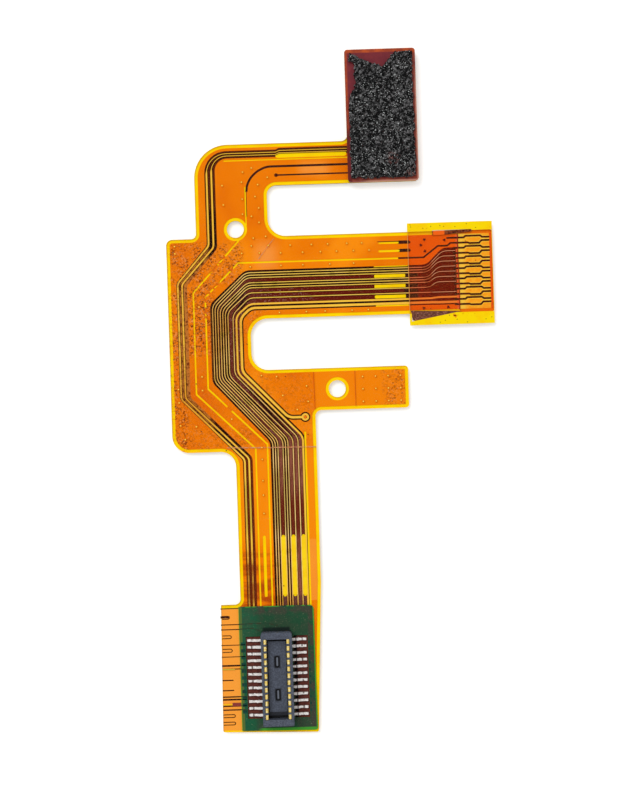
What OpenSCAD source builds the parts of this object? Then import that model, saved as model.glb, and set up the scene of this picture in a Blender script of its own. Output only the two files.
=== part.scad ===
// Flat flexible printed cable with a board connector at one end, a hot-bar tail on a side arm,
// a padded stiffener on a second arm and a plain fixing tab.
// The origin is on the axis of the first locating hole, at the laminate's underside.
// X runs along the arms, Y along the stem and Z out of the component side.

/* [Laminate] */
// Thickness of the base film between the two copper layers
film_t = 0.05; // [0.03:0.01:0.1]
// Thickness of each copper layer
copper_t = 0.025; // [0.02:0.005:0.03]
// Thickness of each cover film
cover_t = 0.06; // [0.05:0.005:0.08]
// Width of bare film left around the copper
rim = 0.2; // [0.12:0.02:0.26]

/* [Column and first arm] */
// Distance from the first locating hole to the left edge of the column
column_left = 2.33; // [2.1:0.05:3]
// Width of the column
column_w = 4.25; // [4:0.05:5]
// Height of the first arm's top edge above the first locating hole
arm1_top = 5; // [4.8:0.1:6]
// Width of the first arm
arm1_w = 2.47; // [2.3:0.05:2.8]
// Outer radius where the column turns into the first arm
elbow_r = 1.95; // [1.2:0.05:2.1]

/* [Second arm and tail] */
// Drop from the first locating hole to the second arm's top edge
arm2_drop = 0.48; // [0.4:0.02:1.2]
// Width of the second arm
arm2_w = 4.83; // [4.8:0.05:5.6]
// Reach of the tail's end from the first locating hole
tail_reach = 15.1; // [14:0.1:18]
// Number of hot-bar pads on the tail
pad_count = 13; // [13]
// Pitch of the hot-bar pads
pad_pitch = 0.302; // [0.29:0.002:0.31]
// Length of the window in the cover film over the hot-bar pads
window_l = 1.85; // [1.5:0.05:2.2]
// Width of the gap between neighbouring pads
pad_gap = 0.085; // [0.06:0.005:0.12]
// Length of the protective tape, along the arm
tape_l = 5; // [4.2:0.1:6]
// Width of the protective tape, across the arm
tape_w = 6.02; // [5.6:0.1:8]
// Thickness of the protective tape
tape_t = 0.06; // [0.04:0.01:0.1]

/* [Body and tab] */
// Distance from the first locating hole to the left edge of the body
body_left = 4.11; // [4:0.05:5]
// Drop from the first locating hole to the bottom edge of the body
body_bottom = 13.1; // [12.9:0.1:15]
// Drop from the first locating hole to the body's top edge beside the column
body_top = 0.5; // [0.3:0.05:0.7]
// Distance from the first locating hole to the closed end of the notch
notch_left = 0.71; // [0.65:0.02:0.9]
// Width of the notch between the second arm and the tab
notch_w = 3.04; // [2.5:0.05:3.3]
// Fillet radius in the notch
notch_r = 1; // [0.5:0.05:1.2]
// Width of the tab
tab_w = 2.47; // [2:0.05:3]
// Reach of the tab from the first locating hole
tab_reach = 9.92; // [8.5:0.1:13]
// Diameter of the two locating holes
hole_d = 1; // [0.8:0.05:1.1]
// Distance of the second locating hole from the first, along the tab
hole2_x = 5.71; // [5.5:0.05:6.5]
// Width of the bare film ring around each locating hole
hole_ring = 0.19; // [0.12:0.01:0.22]

/* [Stem and connector end] */
// Offset of the stem's left edge from the first locating hole
stem_offset = 0.4; // [0.3:0.02:0.5]
// Width of the stem
stem_w = 4.78; // [4.7:0.05:5.4]
// Drop from the first locating hole to the top of the connector end
end_top = 22.15; // [22:0.1:26]
// Length of the connector end
end_l = 7.62; // [7.2:0.1:9]
// How far the connector end reaches out past the stem's left edge
end_shoulder = 1.16; // [1:0.05:1.8]
// How far the connector end's left edge leans out at its bottom
end_lean = 0.1; // [0:0.02:0.3]
// How far the connector end's right edge leans in at its bottom
end_taper = 0.4; // [0:0.02:0.42]
// How much higher the connector end's bottom edge is at its left corner
end_slant = 0.14; // [0:0.02:0.2]

/* [Tracks] */
// Pitch of the fine tracks in the main bundle
track_pitch = 0.149; // [0.14:0.001:0.151]
// Width of a fine track
track_w = 0.075; // [0.05:0.005:0.09]
// Width of the two supply tracks
supply_w = 0.14; // [0.1:0.01:0.15]
// Width of a hairline gap between two ground areas
hair_gap = 0.08; // [0.05:0.005:0.1]
// Width of each sensor track down the cable
sensor_w = 0.13; // [0.08:0.01:0.15]
// Width of each sensor track along the first arm
sensor_arm_w = 0.07; // [0.05:0.01:0.09]
// Width of the dark gap on each side of a track that runs alone
track_gap = 0.08; // [0.05:0.005:0.09]

/* [Connector] */
// Contacts on each side of the connector
contact_count = 12; // [4:1:13]
// Pitch of the contacts
contact_pitch = 0.4; // [0.35:0.01:0.42]
// Width of the connector's housing
housing_w = 1.82; // [1.7:0.02:2.1]
// Housing left past the last contact at each end
housing_end = 0.54; // [0.5:0.02:0.7]
// Height of the housing
housing_h = 0.9; // [0.7:0.05:1.2]
// Width over the soldered tails of the contacts
tails_w = 3.46; // [3.2:0.02:3.6]
// Width of a contact's face
contact_w = 0.27; // [0.2:0.01:0.29]
// Width of a contact's tail
tail_w = 0.18; // [0.14:0.01:0.2]
// Thickness of the contact strip
contact_t = 0.09; // [0.06:0.01:0.1]
// Distance of the connector's centre from the first locating hole, across the stem
connector_x = 1.66; // [1.6:0.01:1.7]
// Drop from the connector end's top edge to the connector's centre
connector_drop = 4.31; // [4.2:0.01:4.4]
// Width of the solder resist round the connector
resist_w = 4.43; // [4.3:0.01:4.5]
// Bare strip between the connector end's top edge and the solder resist
resist_margin = 0.12; // [0.08:0.01:0.2]

/* [Arm stiffener] */
// Width of the stiffener on the first arm
plate_w = 4.16; // [3.6:0.05:5]
// Height of the stiffener on the first arm
plate_h = 7.78; // [7:0.1:9]
// Thickness of that stiffener
plate_t = 0.3; // [0.2:0.05:0.5]
// Distance from the first locating hole to that stiffener's left edge
plate_left = 6.74; // [6:0.05:8]
// Corner radius of that stiffener
plate_r = 0.18; // [0.1:0.02:0.4]
// Thickness of the foam pad
foam_t = 0.5; // [0.3:0.05:1]
// Margin between the foam pad and the stiffener's edge
foam_margin = 0.16; // [0.1:0.02:0.4]

/* [Underside] */
// Thickness of the backing plate and of the adhesive patches
backing_t = 0.1; // [0.05:0.01:0.2]
// Margin between an adhesive patch and the film's edge
patch_margin = 0.14; // [0.1:0.02:0.3]
// Width of the adhesive patch beside the second arm's root
patch_root = 0.94; // [0.6:0.02:1.4]
// Length of the adhesive patch under the tab
tab_patch_l = 3.01; // [2:0.01:3.1]

/* [Hidden] */
$fn = 48;
cut = 0.2;

// Heights of the layers above the laminate's underside; the backing pieces lie below it
z_bottom_cover = 0;
z_bottom_copper = z_bottom_cover + cover_t;
z_film = z_bottom_copper + copper_t;
z_top_copper = z_film + film_t;
z_top_cover = z_top_copper + copper_t;
z_top = z_top_cover + cover_t;

// Edges of the outline
column_l = -column_left;
column_r = column_l + column_w;
arm1_bottom = arm1_top - arm1_w;
arm2_top = -arm2_drop;
arm2_bottom = arm2_top - arm2_w;
body_l = -body_left;
tab_top = arm2_bottom - notch_w;
tab_bottom = tab_top - tab_w;
tab_mid = (tab_top + tab_bottom) / 2;
stem_l = -stem_offset;
stem_r = stem_l + stem_w;
end_left = stem_l - end_shoulder;
end_bottom = -end_top - end_l;
pad_inset = 0.04;
pad_l = plate_left + pad_inset;
pad_r = plate_left + plate_w - pad_inset;
pad_t = arm1_bottom + plate_h - pad_inset;
taper_start = 1.2;
edge_rim = 0.03;
ring_r = hole_d / 2 + hole_ring;

// Tail, from its free end inwards
window_r = tail_reach - 0.13;
window_left = window_r - window_l;
comb_l = window_left - 0.17;
jog_x = comb_l - 1.75;
tape_l_edge = tail_reach + 0.02 - tape_l;
arm2_mid = (arm2_top + arm2_bottom) / 2;
line_count = pad_count + 1;
line_top = arm2_mid + 0.03 + pad_pitch * pad_count / 2;

// Main bundle: places in steps of the track pitch, in the arm, down the body and down the stem
arm_steps = [1, 2, 3, 5, 6, 7, 9, 11, 13.4, 15];
body_steps = [1, 2, 3, 4, 5, 6, 7, 9, 10.3, 12];
stem_steps = [1, 2, 3, 5, 6, 7, 9, 11, 13, 14.7];
bundle_span = 13.2;
signal_count = 8;
bundle_r = 0.7;
bundle_arm = arm2_top - 1.95;
bundle_body = body_l + 2.46;
bundle_stem = stem_l + 2.05;
// Pad that each track of the bundle ends at
pad_of = [2, 3, 4, 5, 6, 7, 8, 10, 11, 12];

// Sensor pair: places across the first arm, the column, the body and the stem
pair_arm = [arm1_top - 0.36, arm1_top - 0.8];
pair_column = [column_l + 0.6, column_l + 1.22];
pair_body = [body_l + 0.52, body_l + 1.15];
pair_stem = [stem_l + 0.4, stem_l + 0.98];
// Shares of the channel at which the two sensor tracks lie: in the arm, the column, the body and the stem
pair_shares = [[0.34, 0.2, 0.13, 0.2], [0.66, 0.66, 0.53, 0.64]];
pair_arc = 8;
pair_jog = column_r + 0.6;
pair_rise = 0.09;
// Ringed test point beside the stem
ring = [stem_r - 0.61, tab_bottom - 0.37];

// Connector end
mask_l = connector_x + 0.015 - resist_w / 2;
mask_r = mask_l + resist_w;
mask_top = -end_top - resist_margin;
mask_low_r = stem_r - end_taper - 0.05;
mask_t = cover_t + 0.01;
mask_corner_r = 0.25;
connector_y = -end_top - connector_drop;
row_l = contact_pitch * (contact_count - 1);
housing_l = row_l + 2 * housing_end;
z_mask = z_top_cover + mask_t;
land_w = tail_w + 0.02;
land_out = tails_w / 2 + 0.03;
land_window = 0.07;
land_window_in = housing_w / 2 + 0.06;

// ---- Points and routes ----

function unit(v) = v / norm(v);
function left_of(a, b) = let (d = unit(b - a)) [-d.y, d.x];
function mix(a, b, t) = a + (b - a) * t;
function reverse(p) = [for (i = [len(p) - 1:-1:0]) p[i]];

// Arc that rounds the corner at b between a and c: radius r, or less where a side is too short for it
function corner(a, b, c, r, n = 12) =
  let (u = unit(a - b), w = unit(c - b), angle = acos(max(-1, min(1, u * w))))
  r < 0.005 || angle > 179 ? [b] :
  let (
    side = cross(b - a, c - b) > 0 ? 1 : -1,
    tangent = min(r / tan(angle / 2), 0.45 * min(norm(a - b), norm(c - b))),
    radius = tangent * tan(angle / 2),
    centre = b + unit(u + w) * radius / sin(angle / 2),
    first = b + u * tangent - centre,
    start = atan2(first.y, first.x)
  )
  [for (k = [0:n]) let (q = start + side * (180 - angle) * k / n) centre + radius * [cos(q), sin(q)]];

// Closed outline from corners [x, y, radius]
function closed(c) =
  let (m = len(c), p = [for (q = c) [q.x, q.y]])
  [for (i = [0:m - 1]) each corner(p[(i + m - 1) % m], p[i], p[(i + 1) % m], c[i].z)];

// Open route, each inner corner rounded to radius r, or to the radius that is its third number
function route(p, r, n = 6) =
  let (q = [for (c = p) [c.x, c.y]], last = len(p) - 1)
  concat(
    [q[0]],
    [for (i = [1:last - 1]) each corner(q[i - 1], q[i], q[i + 1], len(p[i]) > 2 ? p[i].z : r, n)],
    [q[last]]
  );

// The route moved sideways by d, or by a distance of its own at each point, with mitred corners
function beside(p, d) =
  [for (i = [0:len(p) - 1])
    let (
      last = len(p) - 1,
      before = i == 0 ? left_of(p[0], p[1]) : left_of(p[i - 1], p[i]),
      after = i == last ? before : left_of(p[i], p[i + 1]),
      m = unit(before + after)
    )
    p[i] + m * (is_list(d) ? d[i] : d) / (m * before)];

// Strip of width w along a route, and the area between two routes
function strip(p, w) = concat(beside(p, w / 2), reverse(beside(p, -w / 2)));
function between(p, q) = concat(p, reverse(q));

module layer(z, t, points) {
  translate([0, 0, z]) linear_extrude(t) polygon(points);
}

module cut_layer(z, t, points) layer(z - cut, t + 2 * cut, points);

module block(low, high, z, t) {
  translate([low.x, low.y, z]) cube([high.x - low.x, high.y - low.y, t]);
}

module cut_block(low, high, z, t) block(low, high, z - cut, t + 2 * cut);

// Slot with round ends
module cut_slot(a, b, w, z, t) {
  cut_layer(z, t, strip([a, b], w));
  for (p = [a, b]) translate([p.x, p.y, z - cut]) cylinder(d = w, h = t + 2 * cut);
}

// ---- Outline ----

// Outline of the cable, moved inwards by i: outer corners lose i from their radius, inner ones gain it
function outline(i) =
  let (e = min(i, edge_rim), outer = function (r) max(0, r - i))
  closed([
    [pad_r - i, arm1_bottom + i, outer(plate_r)],
    [pad_r - i, pad_t - i, outer(plate_r)],
    [pad_l + i, pad_t - i, outer(plate_r)],
    [pad_l + i, arm1_top - i, 0.4 + i],
    [column_l + i, arm1_top - i, outer(elbow_r)],
    [column_l + i, -body_top - i, 0.3 + i],
    [body_l + i, -body_top - i, outer(0.35)],
    [body_l + i, -body_bottom + i, outer(1)],
    [stem_l + i, -body_bottom + i, 0.9 + i],
    [stem_l + i, -end_top - i, 0.35 + i],
    [end_left + e, -end_top - i, 0],
    [end_left - end_lean + e, end_bottom + end_slant + i / 2, outer(0.1)],
    [stem_r - end_taper - i, end_bottom + i / 2, outer(0.12)],
    [stem_r - i, -end_top + taper_start, 0],
    [stem_r - i, tab_bottom + i, 0.35 + i],
    [tab_reach - i, tab_bottom + i, outer(0.2)],
    [tab_reach - i, tab_top - i, outer(0.2)],
    [notch_left - i, tab_top - i, notch_r + i],
    [notch_left - i, arm2_bottom + i, notch_r + i],
    [tail_reach - e, arm2_bottom + i, outer(0.1)],
    [tail_reach - e, arm2_top - i, outer(0.1)],
    [column_r - i, arm2_top - i, 1.05 + i],
    [column_r - i, arm1_bottom + i, 0.55 + i]
  ]);

module locating_holes(r, z, t) {
  translate([0, 0, z - cut]) cylinder(r = r, h = t + 2 * cut);
  translate([hole2_x, tab_mid, z - cut]) cylinder(r = r, h = t + 2 * cut);
}

// ---- Track routes ----

// Corners of one lane of the main bundle, from the pads, along the arm, down the body and the stem.
// a, b and s are its steps in the three stretches and v is its height at the pads.
function lane_corners(a, b, s, v) =
  let (
    t = b / bundle_span,
    arm_y = bundle_arm - a * track_pitch,
    body_x = bundle_body + b * track_pitch,
    stem_x = bundle_stem + s * track_pitch,
    jog = jog_x + 0.3 * t
  )
  [
    [comb_l, v],
    [jog + max(abs(v - arm_y), 0.4), v],
    [jog, arm_y],
    [mix(0.48, 0.78, t), arm_y],
    [body_x, mix(arm2_bottom + 0.94, arm2_bottom, t)],
    [body_x, mix(tab_top - 0.65, tab_top, t)],
    [stem_x, mix(0.5, 0.84, t) - body_bottom],
    [stem_x, mask_top - 0.3]
  ];

function pad_y(k) = line_top - pad_pitch * (k + 0.5);
function track_corners(k) = lane_corners(arm_steps[k], body_steps[k], stem_steps[k], pad_y(pad_of[k]));
function bundle_lane(k) = route(track_corners(k), bundle_r);
bundle_outer = route(lane_corners(0, 0, 0, line_top - 1.86 * pad_pitch), bundle_r);

// The supply tracks part on the slope, level with the test point: corners of track k as far as there
function parting_corners(k) =
  let (p = track_corners(k), t = (ring.y - p[5].y) / (p[6].y - p[5].y))
  concat([for (i = [0:5]) p[i]], [mix(p[5], p[6], t)]);
supply_first = signal_count;
supply_second = signal_count + 1;
test_branch = route(concat(parting_corners(supply_second), [ring]), bundle_r);

// A lane of the sensor pair at shares [arm, column, body, stem] of the pair's channel
function pair_lane(s) =
  let (
    arm_y = mix(pair_arm[0], pair_arm[1], s[0]),
    column_x = mix(pair_column[0], pair_column[1], s[1]),
    body_x = mix(pair_body[0], pair_body[1], s[2]),
    stem_x = mix(pair_stem[0], pair_stem[1], s[3])
  )
  concat(
    [[plate_left, arm_y + pair_rise], [pair_jog + 0.18, arm_y + pair_rise]],
    route([
      [pair_jog, arm_y],
      [column_x, arm_y, mix(1.28, 0.72, s[1])],
      [column_x, -body_top - mix(0.38, 0.59, s[1])],
      [body_x, -body_top - mix(2.58, 2.71, s[2])],
      [body_x, mix(3.17, 3.27, s[2]) - body_bottom],
      [stem_x, mix(-0.52, -0.37, s[3]) - body_bottom],
      [stem_x, mask_top - 0.3]
    ], 0.45, pair_arc)
  );

// Widths along a sensor track, which is narrow as far as the end of its first arc
function pair_widths(p) = [for (i = [0:len(p) - 1]) i < pair_arc + 3 ? sensor_arm_w : sensor_w];

// Hairline gaps between ground areas, with no copper on either side of the film
outer_hairline = [
  [0.19, -ring_r + 0.05],
  [body_l + 1.5, -body_top - 3.17],
  [body_l + 1.5, 3.44 - body_bottom],
  [stem_l + 1.18, 0.14 - body_bottom],
  [stem_l + 1.18, mask_top - 0.6]
];
inner_hairline = [
  [tape_l_edge - 0.57, arm2_top - 1.52],
  [0.1, arm2_top - 1.5],
  [body_l + 2.2, arm2_top - 3.47],
  [body_l + 2.2, 3.74 - body_bottom],
  [body_l + 3.3, 2.65 - body_bottom]
];
stem_hairline = [
  [body_l + 3.55, 2.4 - body_bottom],
  [stem_l + 1.88, 0.38 - body_bottom],
  [stem_l + 1.88, mask_top - 0.6]
];
right_hairline = [
  [stem_r - 0.65, 1.05 - body_bottom],
  [stem_r - 0.65, mask_top - 0.6]
];
arm1_hairline = [[column_l + 1.75, arm1_top - 0.94], [plate_left, arm1_top - 0.94]];
column_hairline = [[ring_r - 0.05, 0.2], [ring_r - 0.05, arm1_top - 2.5]];

// Gaps in the top copper alone, with the bottom copper behind them
column_gap = route([
  [ring_r + 0.03, arm1_top - 2.8],
  [ring_r + 0.07, arm1_top - 2.42],
  [ring_r + 0.29, arm1_top - 1.98],
  [ring_r + 0.7, arm1_top - 1.6],
  [ring_r + 1.25, arm1_top - 1.35],
  [plate_left, arm1_top - 1.35]
], 1.4, 6);
column_gap_low = [[ring_r + 0.01, 0.72], [ring_r + 0.01, arm1_top - 2.75]];
arm1_gap = [[column_r + 0.58, arm1_bottom + 0.6], [plate_left, arm1_bottom + 0.6]];
tail_gap = [
  [comb_l, line_top - pad_pitch],
  [comb_l - 0.3, line_top - pad_pitch],
  [comb_l - 0.48, line_top - 1.5 * pad_pitch],
  [comb_l - 1.05, line_top - 1.5 * pad_pitch],
  [jog_x - 0.15, arm2_top - 1.52],
  [tape_l_edge - 0.57, arm2_top - 1.52]
];

// Windows with no copper on either side, in the wide gaps of the bundle and in the ground areas
arm2_windows = [
  [arm2_top - 0.6, 1.66, 0.54, 0.11], [arm2_top - 1.08, 1.66, 0.54, 0.13],
  [bundle_arm - 4 * track_pitch, 1.96, 0.25, 0.19], [bundle_arm - 8 * track_pitch, 1.98, 0.21, 0.19],
  [bundle_arm - 12.2 * track_pitch, 1.94, 0.05, 0.19],
  [bundle_arm - 0.2 * track_pitch, 2, 0.05, 0.06],
  [bundle_arm - 15.8 * track_pitch, 1.94, 0.05, 0.08]
];
stem_windows = [
  [stem_l + 1.52, 0.18], [bundle_stem + 4 * track_pitch, 0.2],
  [bundle_stem + 8 * track_pitch, 0.2], [bundle_stem + 12 * track_pitch, 0.2]
];
// Width of the gaps that carry on from the first two windows under the tape
bar_w = 0.17;
window_top = -end_top + 3.95;
window_bottom = -end_top + 0.5;
// Gaps across the connector end's shoulder: [drop below its top edge, length, width]
shoulder_gaps = [
  [0.21, 1.05, 0.05], [1.16, 1.05, 0.06], [1.45, 1.05, 0.06], [2.37, 1.05, 0.05], [3.06, 1.05, 0.05],
  [3.58, 1.05, 0.09], [3.78, 1.05, 0.06], [4.44, 0.6, 0.07], [5.04, 0.62, 0.07], [5.42, 1.05, 0.06],
  [5.58, 1.05, 0.09], [5.96, 1.05, 0.07], [6.19, 1.05, 0.07]
];
// Plating stubs in slots of the shoulder: [drop below its top edge, length, width of the slot]
stubs = [[0.74, 0.49, 0.22], [1.89, 0.57, 0.22], [2.69, 0.6, 0.24], [6.55, 0.66, 0.22], [6.99, 0.66, 0.22]];
stub_gap = 0.055;

module no_copper(z, t) {
  locating_holes(ring_r, z, t);
  cut_layer(z, t, strip(outer_hairline, hair_gap + 0.02));
  cut_layer(z, t, strip(inner_hairline, hair_gap + 0.02));
  cut_layer(z, t, strip(stem_hairline, hair_gap + 0.02));
  cut_layer(z, t, strip(right_hairline, hair_gap + 0.03));
  cut_layer(z, t, strip(arm1_hairline, hair_gap));
  cut_layer(z, t, strip(column_hairline, hair_gap));
  cut_slot([pair_jog + 0.12, arm1_top - 0.71], [plate_left - 0.2, arm1_top - 0.71], 0.3, z, t);
  for (w = arm2_windows) cut_slot([tape_l_edge - w[1], w[0]], [tape_l_edge - w[2], w[0]], w[3], z, t);
  for (w = stem_windows) cut_slot([w[0], window_top], [w[0], window_bottom], w[1], z, t);
}

// Gap line k between the hot-bar pads: even lines bulge up in the middle, odd ones dip and end high
function pad_line(k) =
  let (y = line_top - pad_pitch * k, even = k % 2 == 0, x = even ? window_left + 0.32 : window_left + 0.55)
  [
    [comb_l - cut, y],
    [x, y],
    [x + 0.11, y + (even ? 0.09 : -0.04)],
    [x + (even ? 0.98 : 0.68), y + (even ? 0.09 : -0.04)],
    [x + (even ? 1.1 : 0.82), y + (even ? 0 : 0.11)],
    [window_r, y + (even ? 0 : 0.11)]
  ];

// ---- Film and copper ----

// Height of the connector end's slanted bottom edge at x
function end_edge(x) =
  let (l = end_left - end_lean, r = stem_r - end_taper)
  end_bottom + end_slant * (r - x) / (r - l);

module base_film() {
  color([1, 0.84, 0.05]) difference() {
    layer(z_film, film_t, outline(0));
    locating_holes(hole_d / 2, z_film, film_t);
  }
}

module bottom_cover_film() {
  color([1, 0.72, 0.1]) difference() {
    layer(z_bottom_cover, cover_t, outline(0));
    locating_holes(hole_d / 2, z_bottom_cover, cover_t);
  }
}

module top_cover_film() {
  color([1, 0.75, 0.15, 0.3]) difference() {
    layer(z_top_cover, cover_t, outline(0));
    locating_holes(hole_d / 2, z_top_cover, cover_t);
    cut_block([window_left, arm2_bottom + 0.24], [window_r, arm2_top - 0.24], z_top_cover, cover_t);
    cut_layer(z_top_cover, cover_t, [
      [mask_l, end_bottom - cut], [mask_low_r, end_bottom - cut], [mask_low_r, end_edge(mask_low_r) + 0.12],
      [mask_r, mask_top], [mask_l, mask_top]
    ]);
  }
}

module bottom_copper() {
  color([0.45, 0.12, 0.03]) difference() {
    layer(z_bottom_copper, copper_t, outline(rim));
    no_copper(z_bottom_copper, copper_t);
  }
}

module land_windows(z, t) {
  for (side = [-1, 1])
    cut_block(
      [connector_x + (side < 0 ? -land_out - land_window : land_window_in), connector_y - row_l / 2 - 0.22],
      [connector_x + (side < 0 ? -land_window_in : land_out + land_window), connector_y + row_l / 2 + 0.22],
      z, t
    );
}

// Slot or stub that runs in from the connector end's left edge, round at its inner end
module shoulder_slot(drop, l, w, z, t) {
  cut_slot([end_left - end_lean - cut, -end_top - drop], [end_left + l - w / 2, -end_top - drop], w, z, t);
}

module top_ground() {
  z = z_top_copper;
  first_lane = bundle_lane(supply_first);
  color([0.94, 0.49, 0.02]) difference() {
    layer(z, copper_t, outline(rim));
    no_copper(z, copper_t);
    cut_layer(z, copper_t, between(bundle_outer, beside(first_lane, supply_w / 2 + track_gap)));
    cut_layer(z, copper_t, between(
      route(parting_corners(supply_first), bundle_r), route(parting_corners(supply_second), bundle_r)
    ));
    cut_layer(z, copper_t, strip(test_branch, supply_w + 2 * track_gap));
    translate([ring.x, ring.y, z - cut]) cylinder(r = 0.3, h = copper_t + 2 * cut);
    cut_layer(z, copper_t, between(pair_lane([0, 0, 0, 0]), pair_lane([1, 1, 1, 1])));
    cut_layer(z, copper_t, strip(column_gap, hair_gap));
    cut_layer(z, copper_t, strip(column_gap_low, hair_gap / 2));
    cut_slot([comb_l - 0.5, line_top], [comb_l + cut, line_top], pad_gap, z, copper_t);
    cut_slot(arm1_gap[0], arm1_gap[1], hair_gap, z, copper_t);
    translate([arm1_gap[0].x, arm1_gap[0].y, z - cut]) cylinder(r = 0.11, h = copper_t + 2 * cut);
    cut_layer(z, copper_t, strip(tail_gap, hair_gap));
    for (w = [arm2_windows[0], arm2_windows[1]])
      cut_slot([tape_l_edge - w[2], w[0]], [tape_l_edge + 0.1, w[0]], bar_w, z, copper_t);
    for (s = concat(shoulder_gaps, stubs)) shoulder_slot(s[0], s[1], s[2], z, copper_t);
    cut_block([comb_l, arm2_bottom], [tail_reach + cut, arm2_top], z, copper_t);
    land_windows(z, copper_t);
  }
}

module plating_stubs() {
  color([0.94, 0.49, 0.02]) intersection() {
    layer(z_top_copper, copper_t, outline(rim));
    for (s = stubs) shoulder_slot(s[0], s[1] - stub_gap, s[2] - 2 * stub_gap, z_top_copper, copper_t);
  }
}

module signal_tracks() {
  color([0.9, 0.72, 0.42])
    for (k = [0:signal_count - 1]) layer(z_top_copper, copper_t, strip(bundle_lane(k), track_w));
}

// The first supply track follows the bundle; the second one leaves it for the ringed test point
module supply_tracks() {
  z = z_top_copper;
  color([0.93, 0.66, 0.2]) {
    layer(z, copper_t, strip(bundle_lane(supply_first), supply_w * 0.75));
    difference() {
      union() {
        layer(z, copper_t, strip(test_branch, supply_w));
        translate([ring.x, ring.y, z]) cylinder(r = 0.22, h = copper_t);
      }
      translate([ring.x, ring.y, z - cut]) cylinder(r = 0.1, h = copper_t + 2 * cut);
    }
  }
}

module sensor_tracks() {
  color([0.93, 0.72, 0.3])
    for (s = pair_shares) {
      p = pair_lane(s);
      layer(z_top_copper, copper_t, strip(p, pair_widths(p)));
    }
}

// Comb of hot-bar pads, joined at the free end by its plating bar
module tail_pads() {
  color([0.98, 0.68, 0.2]) difference() {
    block([comb_l, arm2_bottom + rim], [tail_reach - edge_rim, arm2_top - rim], z_top_copper, copper_t);
    for (k = [0:line_count - 1]) cut_layer(z_top_copper, copper_t, strip(pad_line(k), pad_gap));
  }
}

// ---- Board connector ----

// Copies its child at every contact of one side; side is -1 on the left and 1 on the right
module contact_row(side) {
  for (k = [0:contact_count - 1])
    translate([connector_x, connector_y - row_l / 2 + k * contact_pitch, 0])
      mirror([side < 0 ? 1 : 0, 0, 0]) children();
}

// Extrudes an X-Z profile to width w, centred on y = 0
module across(w, points) {
  translate([0, w / 2, 0]) rotate([90, 0, 0]) linear_extrude(w) polygon(points);
}

module connector_lands() {
  color([0.82, 0.8, 0.78]) for (side = [-1, 1]) contact_row(side)
    translate([land_window_in, -land_w / 2, z_top_copper])
      cube([land_out - land_window_in, land_w, copper_t]);
}

module solder_mask() {
  color([0.1, 0.36, 0.22]) difference() {
    layer(z_top_cover, mask_t, closed([
      [mask_l, end_edge(mask_l) + 0.07, 0],
      [mask_low_r, end_edge(mask_low_r) + 0.12, 0.15],
      [mask_r, mask_top, mask_corner_r],
      [mask_l, mask_top, 0]
    ]));
    land_windows(z_top_cover, mask_t);
  }
}

z_seat = z_mask;
z_foot = z_top_cover;
z_rim = z_seat + housing_h;
wall_t = 0.14;
pocket_w = 0.2;
cavity_w = housing_w - 2 * wall_t - 2 * pocket_w;
plateau_w = cavity_w - 0.08;
cavity_end = 0.4;
cavity_depth = housing_h - 0.2;
plateau_drop = housing_h / 2;
riser_t = 0.13;
play = 0.02;

// Soldered tail, riser up the inside of the wall and a rounded contact face at its top
module contact() {
  toe = tails_w / 2;
  face = housing_w / 2 - wall_t;
  inner = face - pocket_w + 0.02;
  top = z_rim - 0.03;
  across(tail_w, [
    [toe, z_foot],
    [toe, z_foot + contact_t],
    [toe - 0.42, z_foot + contact_t],
    [toe - 0.5, z_seat + contact_t],
    [face - 0.02, z_seat + contact_t],
    [face - 0.02, z_seat],
    [toe - 0.46, z_seat],
    [toe - 0.4, z_foot]
  ]);
  across(contact_w, [
    [face, z_seat],
    [face, top - 0.05],
    [face - 0.05, top],
    [inner + 0.05, top],
    [inner, top - 0.06],
    [inner, top - 0.3],
    [face - riser_t, top - 0.36],
    [face - riser_t, z_seat]
  ]);
}

module contacts_left() {
  color([0.93, 0.82, 0.42]) contact_row(-1) contact();
}

module contacts_right() {
  color([0.93, 0.82, 0.42]) contact_row(1) contact();
}

// Bar with round ends on the connector's axis: y from its centre, its half width and the reach of its ends
module round_bar(y, r, reach, z, h) {
  for (s = [-1, 1]) translate([connector_x, connector_y + y + s * reach, z]) cylinder(r = r, h = h);
  translate([connector_x - r, connector_y + y - reach, z]) cube([2 * r, 2 * reach, h]);
}

// Pocket in the housing's floor, round a low bar
module floor_pocket(y) {
  z = z_rim - plateau_drop - 0.15;
  difference() {
    round_bar(y, 0.16, 0.2, z, housing_h);
    round_bar(y, 0.06, 0.19, z - cut, cut + 0.1);
  }
}

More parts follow.
